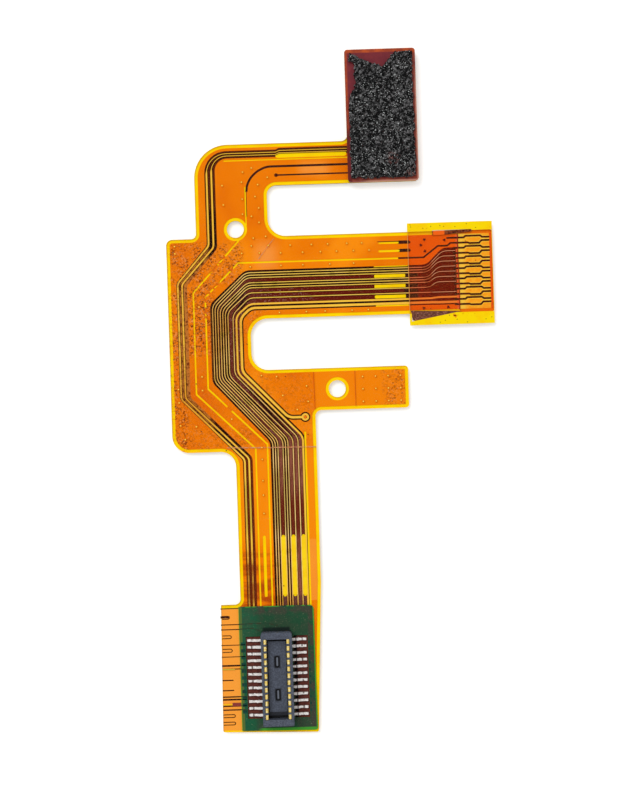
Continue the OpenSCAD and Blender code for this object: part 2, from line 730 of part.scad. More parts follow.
module connector_housing() {
  half = housing_l / 2;
  inner = half - cavity_end;
  slot_w = contact_w + 2 * play;
  riser_x = housing_w / 2 - wall_t - riser_t - play;
  groove_end = 0.16;
  color([0.22, 0.25, 0.32]) difference() {
    layer(z_seat, housing_h, closed([
      [connector_x - housing_w / 2, connector_y - half, 0.06],
      [connector_x + housing_w / 2, connector_y - half, 0.06],
      [connector_x + housing_w / 2, connector_y + half, 0.16],
      [connector_x - housing_w / 2, connector_y + half, 0.16]
    ]));
    // Trough between the walls, round a raised floor
    difference() {
      translate([connector_x - cavity_w / 2, connector_y - inner, z_rim - cavity_depth])
        cube([cavity_w, 2 * inner, cavity_depth + cut]);
      translate([connector_x - plateau_w / 2, connector_y - inner + groove_end, z_rim - cavity_depth - cut])
        cube([plateau_w, 2 * (inner - groove_end), cavity_depth + cut - plateau_drop]);
    }
    for (s = [-1, 1]) floor_pocket(s * row_l * 0.22);
    for (side = [-1, 1]) contact_row(side) {
      // Pocket for the contact's face, open to the trough
      translate([cavity_w / 2 - play, -slot_w / 2, z_rim - cavity_depth])
        cube([pocket_w + play, slot_w, cavity_depth + cut]);
      // Passage down to the tail, and the tail's slot under the wall
      translate([riser_x, -slot_w / 2, z_seat - cut]) cube([riser_t + play, slot_w, housing_h]);
      translate([riser_x, -slot_w / 2, z_seat - cut])
        cube([wall_t + riser_t + play + cut, slot_w, cut + contact_t + play]);
    }
  }
}

// Solder at the toe of each tail
module solder_joints() {
  toe = tails_w / 2;
  color([0.8, 0.8, 0.82]) for (side = [-1, 1]) contact_row(side)
    across(tail_w * 0.9, [[toe, z_foot], [land_out, z_foot], [toe, z_foot + contact_t * 0.85]]);
}

// ---- Pieces bonded on the underside ----

module backing(points) layer(-backing_t, backing_t, points);

module connector_stiffener() {
  margin = 0.1;
  l = end_left + margin;
  r = stem_r - end_taper - margin;
  color([0.72, 0.7, 0.66]) backing(closed([
    [l, end_bottom + end_slant + margin, 0.15],
    [r, end_bottom + end_slant + margin, 0.15],
    [r, -end_top - margin, 0.15],
    [l, -end_top - margin, 0.15]
  ]));
}

module body_adhesive() {
  m = patch_margin;
  root = notch_left - m + patch_root;
  color([0.75, 0.55, 0.3]) difference() {
    backing(closed([
      [body_l + m, -body_top - m, 0.2],
      [body_l + m, -body_bottom + m, 0.9],
      [stem_l + m + 0.5, -body_bottom + m, 0],
      [stem_r - m, -body_bottom + m, 0],
      [stem_r - m, tab_top - m, 0],
      [notch_left - m, tab_top - m, notch_r],
      [notch_left - m, arm2_bottom + m, notch_r],
      [root, arm2_bottom + m, 0],
      [root, arm2_top - m - patch_root, 0],
      [ring_r, -body_top - m - 0.4, 0],
      [-ring_r, -body_top - m, 0]
    ]));
    locating_holes(ring_r, -backing_t, backing_t);
  }
}

module tab_adhesive() {
  r = tab_reach - patch_margin;
  l = r - tab_patch_l;
  b = tab_bottom + patch_margin;
  t = tab_top - patch_margin;
  color([0.75, 0.55, 0.3]) backing([[l, b], [r, b], [r, t], [l, t]]);
}

// ---- Pieces bonded on top ----

scrap_t = 0.02;
liner_points = [
  [tape_l_edge + 0.08, arm2_bottom + 0.17], [tape_l_edge + 0.16, arm2_bottom - 0.37],
  [tape_l_edge + 0.3, arm2_bottom - 0.43], [tape_l_edge + 3.1, arm2_bottom + 0.07]
];
strip_points = [
  [tape_l_edge + 1.48, arm2_top - 0.25], [tape_l_edge + 1.48, arm2_top + 0.01],
  [tape_l_edge + 2.25, arm2_top + 0.02], [tape_l_edge + 3.79, arm2_top + 0.05],
  [tape_l_edge + 3.79, arm2_top - 0.09], [tape_l_edge + 2.3, arm2_top - 0.22]
];

module trapped_liner() {
  color([0.35, 0.28, 0.24]) layer(z_top, scrap_t, liner_points);
}

module trapped_strip() {
  color([0.45, 0.2, 0.08]) layer(z_top, scrap_t, strip_points);
}

module tail_tape() {
  tape_mid = arm2_mid - 0.1;
  color([1, 0.75, 0.05, 0.5]) difference() {
    block(
      [tape_l_edge, tape_mid - tape_w / 2], [tape_l_edge + tape_l, tape_mid + tape_w / 2], z_top, tape_t
    );
    layer(z_top - cut, scrap_t + cut, liner_points);
    layer(z_top - cut, scrap_t + cut, strip_points);
  }
}

module arm_stiffener() {
  color([0.55, 0.2, 0.16]) layer(z_top, plate_t, closed([
    [plate_left, arm1_bottom, plate_r],
    [plate_left + plate_w, arm1_bottom, plate_r],
    [plate_left + plate_w, arm1_bottom + plate_h, plate_r],
    [plate_left, arm1_bottom + plate_h, plate_r]
  ]));
}

// Torn foam: a notch across its top edge and a strip missing high on the left
module foam_pad() {
  l = plate_left + foam_margin;
  r = plate_left + plate_w - foam_margin;
  b = arm1_bottom + foam_margin;
  t = arm1_bottom + plate_h - foam_margin;
  color([0.13, 0.13, 0.14]) layer(z_top + plate_t, foam_t, closed([
    [l, b, 0.1], [r, b, 0.1], [r, t, 0.15], [r - 1.1, t, 0.1], [r - 1.8, t - 0.85, 0.15],
    [l + 0.75, t - 0.3, 0.2], [l + 0.1, t, 0.1], [l, t - 0.55, 0.1], [l + 0.32, t - 0.75, 0.1],
    [l + 0.32, t - 2.1, 0.2], [l, t - 2.6, 0.2]
  ]));
}

base_film();
bottom_cover_film();
top_cover_film();
bottom_copper();
top_ground();
signal_tracks();
supply_tracks();
sensor_tracks();
tail_pads();
connector_lands();
plating_stubs();
solder_mask();
connector_housing();
contacts_left();
contacts_right();
solder_joints();
connector_stiffener();
tail_tape();
trapped_liner();
trapped_strip();
arm_stiffener();
foam_pad();
body_adhesive();
tab_adhesive();
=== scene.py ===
"""Dresses the flat flex cable: film, copper, solder resist, connector, tape, foam and a plain studio."""

import math
from functools import reduce

import bmesh
import bpy
import numpy as np
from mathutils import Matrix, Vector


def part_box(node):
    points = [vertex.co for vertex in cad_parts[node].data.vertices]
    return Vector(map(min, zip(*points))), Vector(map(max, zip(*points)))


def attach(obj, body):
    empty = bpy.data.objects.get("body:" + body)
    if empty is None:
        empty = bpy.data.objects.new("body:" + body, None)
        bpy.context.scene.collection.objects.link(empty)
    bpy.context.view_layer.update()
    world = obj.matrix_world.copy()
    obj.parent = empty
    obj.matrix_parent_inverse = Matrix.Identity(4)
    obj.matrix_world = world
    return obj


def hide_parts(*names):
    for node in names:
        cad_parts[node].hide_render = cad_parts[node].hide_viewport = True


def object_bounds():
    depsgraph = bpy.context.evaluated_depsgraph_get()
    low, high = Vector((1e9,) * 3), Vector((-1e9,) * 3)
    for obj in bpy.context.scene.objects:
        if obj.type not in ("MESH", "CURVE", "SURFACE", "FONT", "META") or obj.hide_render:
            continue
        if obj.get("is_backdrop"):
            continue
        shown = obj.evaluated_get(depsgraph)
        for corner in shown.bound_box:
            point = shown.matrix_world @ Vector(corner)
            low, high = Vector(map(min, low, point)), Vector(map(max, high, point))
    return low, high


bl_info = {
    "name": "Flat flex cable",
    "version": (1, 0, 0),
    "blender": (4, 5, 0),
    "location": "3D View > Sidebar > Flex Cable",
    "description": "Finishes a flat flexible printed cable with a board connector and a taped tail",
    "category": "Object",
}

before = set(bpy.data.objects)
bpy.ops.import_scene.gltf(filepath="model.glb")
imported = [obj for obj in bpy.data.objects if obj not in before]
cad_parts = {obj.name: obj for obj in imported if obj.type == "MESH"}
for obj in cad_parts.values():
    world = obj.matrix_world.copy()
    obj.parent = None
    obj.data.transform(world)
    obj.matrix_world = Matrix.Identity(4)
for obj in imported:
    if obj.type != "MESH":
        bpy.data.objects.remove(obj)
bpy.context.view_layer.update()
MM = 0.001


def span(node):
    """Lowest and highest corner of a CAD piece, in millimetres."""
    return [np.array(corner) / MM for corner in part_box(node)]


FILM_TOP = span("base_film")[1][2]
COPPER_TOP = span("top_ground")[1][2]
COVER_TOP = span("top_cover_film")[1][2]
TAPE_TOP = span("tail_tape")[1][2]
TAPE_LEFT = span("tail_tape")[0][0]
# Gap left between surfaces that lie on each other, so that neither shows through the other
GAP = 0.0012
# Heights of a thin mark printed on the cover film
ON_COVER = (COVER_TOP + GAP / 2, COVER_TOP + 2 * GAP)
TRACK_PITCH = 0.149
PAD_PITCH = 0.302
PAD_LINES = 14
CONTACTS_PER_ROW = 12
SHOULDER_TOP = -22.15
# Far beyond the cable on every side
FAR = 99.0


def paint(r, g, b):
    """A display colour from 0 to 255 as a scene-linear colour: each share to the power 2.4, past a short
    straight foot."""
    share = np.array([r, g, b]) / 255
    linear = np.where(share > 0.04045, ((share + 0.055) / 1.055) ** 2.4, share / 12.92)
    return (*[float(c) for c in linear], 1.0)


# ---- Shapes: each is an array of corners in millimetres and its faces as lists of corner numbers ----


def lift(points, height):
    """Plan points as corners at one height."""
    return np.column_stack([points, np.full(len(points), height)])


def add_piece(name, mesh, material):
    """Puts a mesh into the scene as a piece that rides on the cable."""
    mesh.materials.clear()
    mesh.materials.append(material)
    piece = bpy.data.objects.new(name, mesh)
    bpy.context.scene.collection.objects.link(piece)
    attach(piece, "root")
    return piece


def new_piece(name, parts, material, smooth=False):
    """A piece from one or more shapes: later faces count on from the corners before."""
    vertices, faces, count = [], [], 0
    for corners, loops in parts:
        vertices.append(corners)
        faces += [[c + count for c in loop] for loop in loops]
        count += len(corners)
    mesh = bpy.data.meshes.new(name)
    mesh.from_pydata((np.vstack(vertices) * MM).tolist(), [], faces)
    mesh.validate()
    mesh.polygons.foreach_set("use_smooth", [smooth] * len(mesh.polygons))
    return add_piece(name, mesh, material)


def tag(piece, name, values):
    """Stores a number at every corner of a piece, for its material to read."""
    layer = piece.data.attributes.new(name, "FLOAT", "POINT")
    layer.data.foreach_set("value", np.asarray(values, np.float32))


def sideways(path, distance):
    """The path moved to its left by a distance: each corner goes along the mean of its two sides' normals,
    by the distance over the cosine between that mean and either normal."""
    path = np.asarray(path, float)
    normal = normals(path)
    before = np.vstack([normal[:1], normal])
    after = np.vstack([normal, normal[-1:]])
    mean = before + after
    mean /= np.linalg.norm(mean, axis=1)[:, None]
    return path + mean * (distance / (mean * before).sum(1))[:, None]


def normals(path):
    """Unit normals to the left of a path's sides."""
    step = np.diff(path, axis=0)
    return np.column_stack([-step[:, 1], step[:, 0]]) / np.linalg.norm(step, axis=1)[:, None]


def ribbon(path, width, low, high):
    """A flat bar along a path: four corners at every point, quads between one point and the next, and end caps."""
    left, right = sideways(path, width / 2), sideways(path, -width / 2)
    corners = np.stack([lift(left, low), lift(right, low), lift(right, high), lift(left, high)], axis=1)
    last = 4 * len(left) - 4
    start = 4 * np.arange(len(left) - 1)[:, None, None]
    side = np.array([[k, (k + 1) % 4, (k + 1) % 4 + 4, k + 4] for k in range(4)])[None]
    faces = (start + side).reshape(-1, 4).tolist()
    return corners.reshape(-1, 3), faces + [[3, 2, 1, 0], [last, last + 1, last + 2, last + 3]]


def rounded(path, radius, steps=6):
    """A path with its inner corners rounded: each corner gives way to a quadratic blend between the points
    that lie the radius times the tangent of half the turn away on either side, or 45% of the shorter side."""
    path = [np.asarray(p, float) for p in path]
    out = [path[0]]
    t = np.linspace(0, 1, steps)[:, None]
    for a, b, c in zip(path, path[1:], path[2:]):
        to_a, to_c = np.linalg.norm(a - b), np.linalg.norm(c - b)
        u, w = (a - b) / to_a, (c - b) / to_c
        turn = math.pi - math.acos(max(-1.0, min(1.0, float(u @ w))))
        reach = min(radius * math.tan(turn / 2), 0.45 * min(to_a, to_c))
        out.extend((1 - t) ** 2 * (b + u * reach) + 2 * t * (1 - t) * b + t**2 * (b + w * reach))
    return np.array(out + [path[-1]])


def merged(node):
    """A CAD piece's mesh, opened for editing with its doubled corners merged."""
    form = bmesh.new()
    form.from_mesh(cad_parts[node].data)
    bmesh.ops.remove_doubles(form, verts=form.verts, dist=1e-7)
    return form


def sheet_from(node, name, low, high, material, walls_only=False):
    """A copy of a CAD layer between two new heights: corners above its middle go to high and the rest to low.
    With walls only, its flat faces go."""
    form = merged(node)
    if walls_only:
        flat = [face for face in form.faces if abs(face.normal.z) > 0.5]
        bmesh.ops.delete(form, geom=flat, context="FACES")
    mesh = bpy.data.meshes.new(name)
    form.to_mesh(mesh)
    form.free()
    co = np.empty(len(mesh.vertices) * 3)
    mesh.vertices.foreach_get("co", co)
    z = co[2::3]
    co[2::3] = np.where(z > (z.min() + z.max()) / 2, high * MM, low * MM)
    mesh.vertices.foreach_set("co", co)
    return add_piece(name, mesh, material)


def edge_strips(node, width, height, low=(-FAR, -FAR), high=(FAR, FAR)):
    """Flat strips over the outline of a copper layer's top: a quad of the given width along every top edge that
    a wall shares and whose middle is in the box, a little longer than the edge so that the corners close."""
    form = merged(node)
    form.normal_update()
    top = max(vertex.co.z for vertex in form.verts) - 1e-6
    upper = [edge for edge in form.edges if edge.verts[0].co.z > top and edge.verts[1].co.z > top]
    walls = [edge for edge in upper if any(abs(face.normal.z) < 0.5 for face in edge.link_faces)]
    ends = np.array([[vertex.co[:2] for vertex in edge.verts] for edge in walls]) / MM
    form.free()
    middle = ends.mean(1)
    ends = ends[((middle > low) & (middle < high)).all(1)]
    along = ends[:, 1] - ends[:, 0]
    along = along / np.linalg.norm(along, axis=1)[:, None] * width / 2
    across = np.column_stack([-along[:, 1], along[:, 0]])
    a, b = ends[:, 0] - along / 4, ends[:, 1] + along / 4
    corners = np.stack([a - across, b - across, b + across, a + across], axis=1).reshape(-1, 2)
    return lift(corners, height), np.arange(len(corners)).reshape(-1, 4).tolist()


def discs(places, radius, height, sides=9):
    """Small flat discs at [x, y] places: each is a ring of corners, its radius swelling and shrinking round it."""
    places = np.array(places, float)
    angle = np.linspace(0, 2 * math.pi, sides, endpoint=False)
    wave = 1 + 0.25 * np.sin(3 * angle[None] + 1.7 * np.arange(len(places))[:, None])
    ring = np.stack([np.cos(angle)[None] * wave, np.sin(angle)[None] * wave], -1) * radius
    corners = (places[:, None] + ring).reshape(-1, 2)
    return lift(corners, height), np.arange(len(corners)).reshape(-1, sides).tolist()


def lane(arm, body, stem):
    """Centre line of one lane of the bundle, from the tail along the arm, down the body and down the stem.
    Its place in each stretch is a number of track pitches from the bundle's outer edge."""
    t = body / 13.2
    arm_y, body_x, stem_x = -2.43 - arm * TRACK_PITCH, -1.65 + body * TRACK_PITCH, 1.65 + stem * TRACK_PITCH
    path = [
        (10.9, arm_y),
        (0.48 + 0.3 * t, arm_y),
        (body_x, -4.37 - 0.94 * t),
        (body_x, -9.0 + 0.65 * t),
        (stem_x, -12.6 + 0.34 * t),
        (stem_x, -22.4),
    ]
    return rounded(path, 0.7)


# ---- Materials ----


def shade(colour):
    """A colour for a node: a setting's name, red, green and blue from 0 to 255, or another node's output."""
    if isinstance(colour, str):
        return tuple(getattr(bpy.context.scene.flex_look, colour))
    return paint(*colour) if isinstance(colour, tuple) and len(colour) == 3 else colour


class Tree:
    """Adds nodes to a material or a group. Its where, x, y and z are object coordinates in millimetres."""

    def __init__(self, tree, placed=True):
        self.tree = tree
        if placed:
            self.where = self.add("ShaderNodeTexCoord").outputs["Object"]
            self.where = self.vector("MULTIPLY", 1000.0, 1000.0, 1000.0)
            self.x, self.y, self.z = self.add("ShaderNodeSeparateXYZ", {0: self.where}).outputs

    def add(self, kind, inputs=None, **settings):
        node = self.tree.nodes.new(kind)
        for key, value in settings.items():
            setattr(node, key, value)
        for key, value in (inputs or {}).items():
            self.feed(node.inputs[key], value)
        return node

    def feed(self, socket, value):
        """Gives a socket a plain value, or links it to another node's output."""
        if isinstance(value, bpy.types.NodeSocket):
            self.tree.links.new(value, socket)
        else:
            socket.default_value = value

    def vector(self, operation, x, y, z):
        """The place moved by a vector (ADD) or stretched by it (MULTIPLY)."""
        return self.add("ShaderNodeVectorMath", {0: self.where, 1: (x, y, z)}, operation=operation).outputs[0]

    def math(self, operation, a, b=0.0, clamp=False):
        return self.add("ShaderNodeMath", {0: a, 1: b}, operation=operation, use_clamp=clamp).outputs[0]

    def plus(self, a, b):
        return self.math("ADD", a, b)

    def minus(self, a, b):
        return self.math("SUBTRACT", a, b)

    def times(self, *values):
        return reduce(lambda a, b: self.math("MULTIPLY", a, b), values)

    def most(self, *values):
        return reduce(lambda a, b: self.math("MAXIMUM", a, b), values)

    def mix(self, share, a, b):
        return self.add("ShaderNodeMix", {0: share, 6: shade(a), 7: shade(b)}, data_type="RGBA").outputs[2]

    def layers(self, base, *rows):
        """A colour with others laid over it in turn, each given as (mask, colour) or (mask, colour, strength)."""
        for mask, colour, *strength in rows:
            base = self.mix(self.times(mask, *strength), base, colour)
        return base

    def noise(self, scale, detail=2.0, rough=0.5, vector=None, distortion=0.0):
        inputs = {"Scale": scale, "Detail": detail, "Roughness": rough, "Distortion": distortion}
        inputs["Vector"] = self.where if vector is None else vector
        return self.add("ShaderNodeTexNoise", inputs).outputs["Fac"]

    def ramp(self, value, low, high):
        """0 below low, 1 above high and a smooth rise between; low above high turns it round."""
        inputs = {0: value, 1: low, 2: high, 3: 0.0, 4: 1.0}
        return self.add("ShaderNodeMapRange", inputs, interpolation_type="SMOOTHSTEP").outputs[0]

    def spots(self, scale, detail, rough, low, high, vector=None):
        """A noise pattern ramped from low to high."""
        return self.ramp(self.noise(scale, detail, rough, vector), low, high)

    def box(self, low, high, soft=0.02, shift=None):
        """1 inside the rectangle from low to high and 0 outside it; a shift moves both coordinates first."""
        x, y = (self.x, self.y) if shift is None else (self.plus(self.x, shift), self.plus(self.y, shift))
        return self.times(
            self.times(self.ramp(x, low[0] - soft, low[0] + soft), self.ramp(x, high[0] + soft, high[0] - soft)),
            self.times(self.ramp(y, low[1] - soft, low[1] + soft), self.ramp(y, high[1] + soft, high[1] - soft)),
        )

    def group(self, name, **inputs):
        node = self.add("ShaderNodeGroup", node_tree=bpy.data.node_groups[name])
        for key, value in inputs.items():
            self.feed(node.inputs[key], value)
        return node.outputs


class Finish(Tree):
    """A material with one Principled shader; plain values go straight onto its sockets."""

    def __init__(self, name, rough=0.5, shine=0.1, metal=0.0, placed=True):
        self.material = bpy.data.materials.new(name)
        self.material.use_nodes = True
        super().__init__(self.material.node_tree, placed)
        self.shader = self.tree.nodes["Principled BSDF"].inputs
        for key, value in (("Roughness", rough), ("Specular IOR Level", shine), ("Metallic", metal)):
            self.set(key, value)

    def set(self, socket, value):
        self.feed(self.shader[socket], value)

    def colour(self, base, *rows):
        """Sets the base colour, with layers over it, and gives the material."""
        self.set("Base Color", shade(self.layers(base, *rows)))
        return self.material

    def over(self, *rows):
        """Lays more colours over the base colour that the shader has."""
        return self.colour(self.shader["Base Color"].links[0].from_socket, *rows)

    def taped(self, base, seen):
        """Sets the base colour, which gives way to another one under the tape."""
        return self.colour(self.group("tape_tint", Color=base, Seen=shade(seen))["Color"])

    def bump(self, height, strength, distance):
        """Lets a height pattern tilt the shader's normal; distance is in millimetres."""
        inputs = {"Strength": strength, "Distance": distance * MM, "Height": height}
        self.set("Normal", self.add("ShaderNodeBump", inputs).outputs[0])


def new_group(name, inputs, outputs):
    """An empty node group with named sockets, each with a number or a colour to start from."""
    tree = bpy.data.node_groups.new(name, "ShaderNodeTree")
    for way, sockets in (("INPUT", inputs), ("OUTPUT", outputs)):
        for label, start in sockets.items():
            kind = "NodeSocketFloat" if isinstance(start, float) else "NodeSocketColor"
            tree.interface.new_socket(label, in_out=way, socket_type=kind).default_value = start
    t = Tree(tree)
    return t, t.add("NodeGroupInput").outputs, t.add("NodeGroupOutput").inputs


WHITE = (1.0, 1.0, 1.0, 1.0)
# Where adhesive lies behind the film: corners, softness of the edge and share of the mottling
ADHESIVE_AREAS = (
    ((-4.3, -13.2), (-3.15, -0.9), 0.2, 1.0),
    ((-4.2, -7.4), (-1.5, -0.8), 0.35, 1.0),
    ((-2.6, -3.2), (0.3, -0.8), 0.3, 0.9),
    ((-4.2, -13.2), (0.6, -11.6), 0.4, 0.4),
    ((0.9, -10.9), (4.3, -8.6), 0.25, 0.28),
    ((-4.2, -12.9), (4.3, -5.6), 0.3, 0.18),
    ((-1.6, -6.5), (1.5, -4.2), 0.5, 0.5),
    ((8.4, -10.75), (9.8, -8.35), 0.25, 0.6),
)


def build_groups():
    """The effects that several finishes share: mottling over adhesive, the tape's tint, and film ripple."""
    t, get, put = new_group("adhesive_mottle", {"Amount": 1.0}, {"Dark": 0.0, "Pale": 0.0, "Patch": 0.0})
    areas = [t.times(t.box(low, high, soft), share) for low, high, soft, share in ADHESIVE_AREAS]
    patch = t.times(t.most(*areas), t.spots(1.7, 4.0, 0.7, 0.34, 0.58), get["Amount"])
    shifted = t.vector("ADD", 7.3, 2.1, 0.0)
    smudge = t.times(t.spots(2.6, 3.0, 0.65, 0.56, 0.64, shifted), t.box((-3.9, -8.6), (-1.9, -4.4), 0.3), 0.8)
    pale = t.most(t.spots(9.0, 3.0, 0.7, 0.54, 0.62, shifted), smudge)
    t.feed(put["Dark"], t.times(t.spots(9.0, 3.0, 0.7, 0.5, 0.57), patch))
    t.feed(put["Pale"], t.times(pale, patch))
    t.feed(put["Patch"], patch)

    t, get, put = new_group("tape_tint", {"Color": WHITE, "Seen": WHITE}, {"Color": WHITE})
    low, high = span("tail_tape")
    t.feed(put["Color"], t.mix(t.times(t.box(low, high, 0.01), 0.88), get["Color"], get["Seen"]))

    t, get, put = new_group("film_ripple", {"Fine": 0.2}, {"Height": 0.0})
    t.feed(put["Height"], t.plus(t.noise(0.5), t.times(t.noise(14.0, 3.0, 0.6), get["Fine"])))


def film_material():
    """Amber film, a little deeper in slow patches, speckled over the adhesive and orange under the tape."""
    t = Finish("film", 0.4, 0.02)
    breaks = t.most(t.box((-1.6, -3.1), (-0.1, -0.95), 0.1), t.box((-2.4, -5.2), (-0.9, -3.1), 0.1))
    base = t.layers(
        "film",
        (t.spots(0.8, 2.0, 0.5, 0.35, 0.75), "film_deep"),
        (t.group("adhesive_mottle", Amount=0.7)["Dark"], "patch", 0.7),
        (t.times(breaks, t.spots(2.6, 2.0, 0.5, 0.49, 0.53)), "patch"),
    )
    window = span("tail_pads")[0][0] + 0.17
    t.bump(t.group("film_ripple", Fine=0.1)["Height"], 0.2, 0.02)
    return t.taped(base, t.mix(t.ramp(t.x, window - 0.05, window), (255, 186, 8), (240, 92, 8)))


def copper_finish(name, colour, light, deep, seen, mottle=1.0):
    """Copper under its cover film: slow changes from light to deep, two patches of painted sheen, painted shade as
    darker banding low on the stem, a paler strip beside it that is a painted reflection where the film bends, a
    paler shoulder, the adhesive's mottling, and its colour under the tape."""
    t = Finish(name, 0.45, 0.02)
    slow = t.noise(0.22)
    # Painted sheen: two soft patches painted lighter, as if they caught the light
    sheen = t.most(t.box((1.2, -2.3), (2.3, -0.9), 0.5), t.box((3.9, 3.2), (5.6, 3.7), 0.4))
    # Painted shade: bands painted darker low on the stem, where the film bends
    bands = t.spots(0.8, 3.0, 0.6, 0.4, 0.62, t.vector("MULTIPLY", 0.5, 1.9, 1.0))
    # Painted reflection: the paler strip beside the stem, where the film bends
    beside = t.times(t.box((3.75, -22.0), (4.5, -18.4), 0.03), 0.55)
    shoulder = t.times(t.ramp(t.y, -22.1, -22.2), t.ramp(t.x, -0.45, -0.55))
    marks = t.group("adhesive_mottle", Amount=mottle)
    base = t.layers(
        colour,
        (t.ramp(slow, 0.5, 0.72), light),
        (t.ramp(slow, 0.46, 0.3), deep),
        (t.spots(13.0, 2.0, 0.6, 0.5, 0.7), deep, 0.22),
        (t.box((-0.5, -18.6), (4.6, -12.9), 0.5), light, 0.7),
        (t.box((4.4, -11.0), (10.1, -8.2), 0.1), (250, 138, 8), 0.6),
        (sheen, (255, 172, 92), 0.4),
        (t.times(t.box((-0.35, -22.6), (1.75, -19.1), 0.35), bands), "stem_shade", 0.85),
        (t.most(beside, shoulder), "shoulder"),
        (marks["Patch"], "patch", 0.35),
        (marks["Dark"], "speck_dark", 0.9),
        (marks["Pale"], "speck_pale", 0.8),
    )
    t.bump(t.group("film_ripple", Fine=0.15)["Height"], 0.15, 0.02)
    t.taped(base, seen)
    return t


def plain(name, colour, other, scale, shine=0.1):
    """A finish that wavers between two colours."""
    t = Finish(name, 0.5, shine)
    return t.colour(colour, (t.spots(scale, 3.0, 0.6, 0.4, 0.62), other))


def dress(material, *nodes):
    """Gives CAD pieces their finish, in place of the material that they came with."""
    for node in nodes:
        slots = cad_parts[node].data.materials
        slots.clear()
        slots.append(material)


# ---- Settings ----


# Colours of the cable: what each is, and red, green and blue from 0 to 255
COLOURS = {
    "film": ("Bare film round the copper", 255, 219, 0),
    "film_deep": ("Film where it is a little darker", 252, 205, 0),
    "ground": ("Ground copper under the cover film", 242, 124, 0),
    "ground_light": ("Ground copper in its lighter areas", 254, 144, 10),
    "ground_deep": ("Ground copper in its deeper areas", 229, 106, 2),
    "shoulder": ("Paler copper by the connector", 255, 162, 58),
    "gap": ("Gap between two tracks", 30, 4, 0),
    "wide_gap": ("Wide gap in the arm and the body", 104, 40, 28),
    "stem_gap": ("Wide gap down the stem", 140, 78, 60),
    "track": ("Fine track", 246, 196, 104),
    "track_olive": ("Fine track where it looks greenish", 160, 140, 30),
    "supply": ("Supply and sensor tracks", 250, 192, 62),
    "pad": ("Hot-bar pads under the tape", 252, 160, 28),
    "pad_edge": ("Hot-bar pads at their inner ends", 250, 206, 70),
    "stem_shade": ("Darker copper low on the stem", 168, 62, 8),
    "patch": ("Copper with adhesive behind it", 222, 108, 16),
    "speck_dark": ("Dark specks over the adhesive", 88, 26, 8),
    "speck_pale": ("Pale specks over the adhesive", 244, 158, 86),
    "taped_ground": ("Ground copper seen through the tape", 237, 80, 8),
    "taped_track": ("Track seen through the tape", 240, 150, 116),
    "taped_gap": ("Gap seen through the tape", 98, 6, 4),
    "resist": ("Green solder resist", 24, 72, 45),
    "resist_brown": ("Solder resist where it is mottled", 62, 60, 49),
    "resist_edge": ("Thin bright edge of the solder resist", 64, 158, 40),
    "land_gap": ("Bare board between the lands", 112, 60, 50),
    "housing": ("Moulded connector housing", 64, 69, 82),
    "gold": ("Contact faces", 252, 212, 92),
    "tin": ("Soldered tails", 232, 226, 220),
    "plate": ("Stiffener board", 114, 30, 42),
    "plate_rim": ("Border of the stiffener board, right and below", 160, 72, 54),
    "plate_rim_red": ("Border of the stiffener board, left and above", 158, 58, 26),
    "foam": ("Foam pad where it stands highest", 122, 121, 122),
    "foam_deep": ("Foam pad in its hollows", 7, 7, 8),
    "foam_glint": ("Grains that catch the light", 214, 218, 216),
}


def colour_property(key, description, r, g, b):
    """A colour setting, labelled with its key in words."""
    return bpy.props.FloatVectorProperty(
        name=key.replace("_", " ").capitalize(),
        description=description,
        default=paint(r, g, b),
        subtype="COLOR",
        size=4,
        min=0.0,
        max=1.0,
    )


def number_property(name, description, default, **kind):
    return bpy.props.FloatProperty(name=name, description=description, default=default, **kind)


class FlexLook(bpy.types.PropertyGroup):
    __annotations__ = {key: colour_property(key, *row) for key, row in COLOURS.items()}


class FlexStage(bpy.types.PropertyGroup):
    camera_height: number_property("Camera height", "Height of the camera above the cable", 0.09, unit="LENGTH")
    view_height: number_property(
        "View height", "Length that fills the picture from top to bottom", 0.04722, unit="LENGTH"
    )
    turn: number_property(
        "Turn", "How far the cable is turned in the picture", math.radians(1.85), subtype="ANGLE"
    )
    key_strength: number_property("Key", "Strength of the soft main lamp", 1.35)
    fill_strength: number_property("Fill", "Strength of the even light around", 0.62)


class FlexFoam(bpy.types.PropertyGroup):
    cell: number_property("Cell", "Spacing of the foam surface's points", 0.00004, unit="LENGTH")
    relief: number_property("Relief", "Height of the foam's lumps", 0.00026, unit="LENGTH")


# ---- Pieces ----


def marked(name, parts, slot, *finish):
    """A piece with a wavering finish of its own, given as plain() takes it."""
    return new_piece(name, parts, plain(*finish))


class FLEX_OT_film(bpy.types.Operator):
    """Finishes the film layers and closes the laminate's cut edges, all round and in the holes"""

    bl_idname = "flex.film"
    bl_label = "Film"

    def execute(self, context):
        film = film_material()
        dress(film, "base_film", "bottom_cover_film")
        sheet_from("base_film", "cut_edge", 0.0, COVER_TOP - 3 * GAP, film, walls_only=True)
        return {"FINISHED"}


# Wide gaps of the bundle: steps of their two sides in the arm, the body and the stem, and whether windows cut them
WIDE_GAPS = (
    ((3, 3, 3), (5, 4, 5), True),
    ((7, 7, 7), (9, 9, 9), True),
    ((9, 9, 9), (11, 10.3, 11), False),
    ((11, 10.3, 11), (13.4, 12, 13), True),
)
ARM_WINDOW = (9.93, 8.1)
STEM_WINDOW = (-18.11, -21.74)
# How far a band stays inside its gap on either side, and its least half width
BAND_INSET, BAND_LEAST = 0.06, 0.012


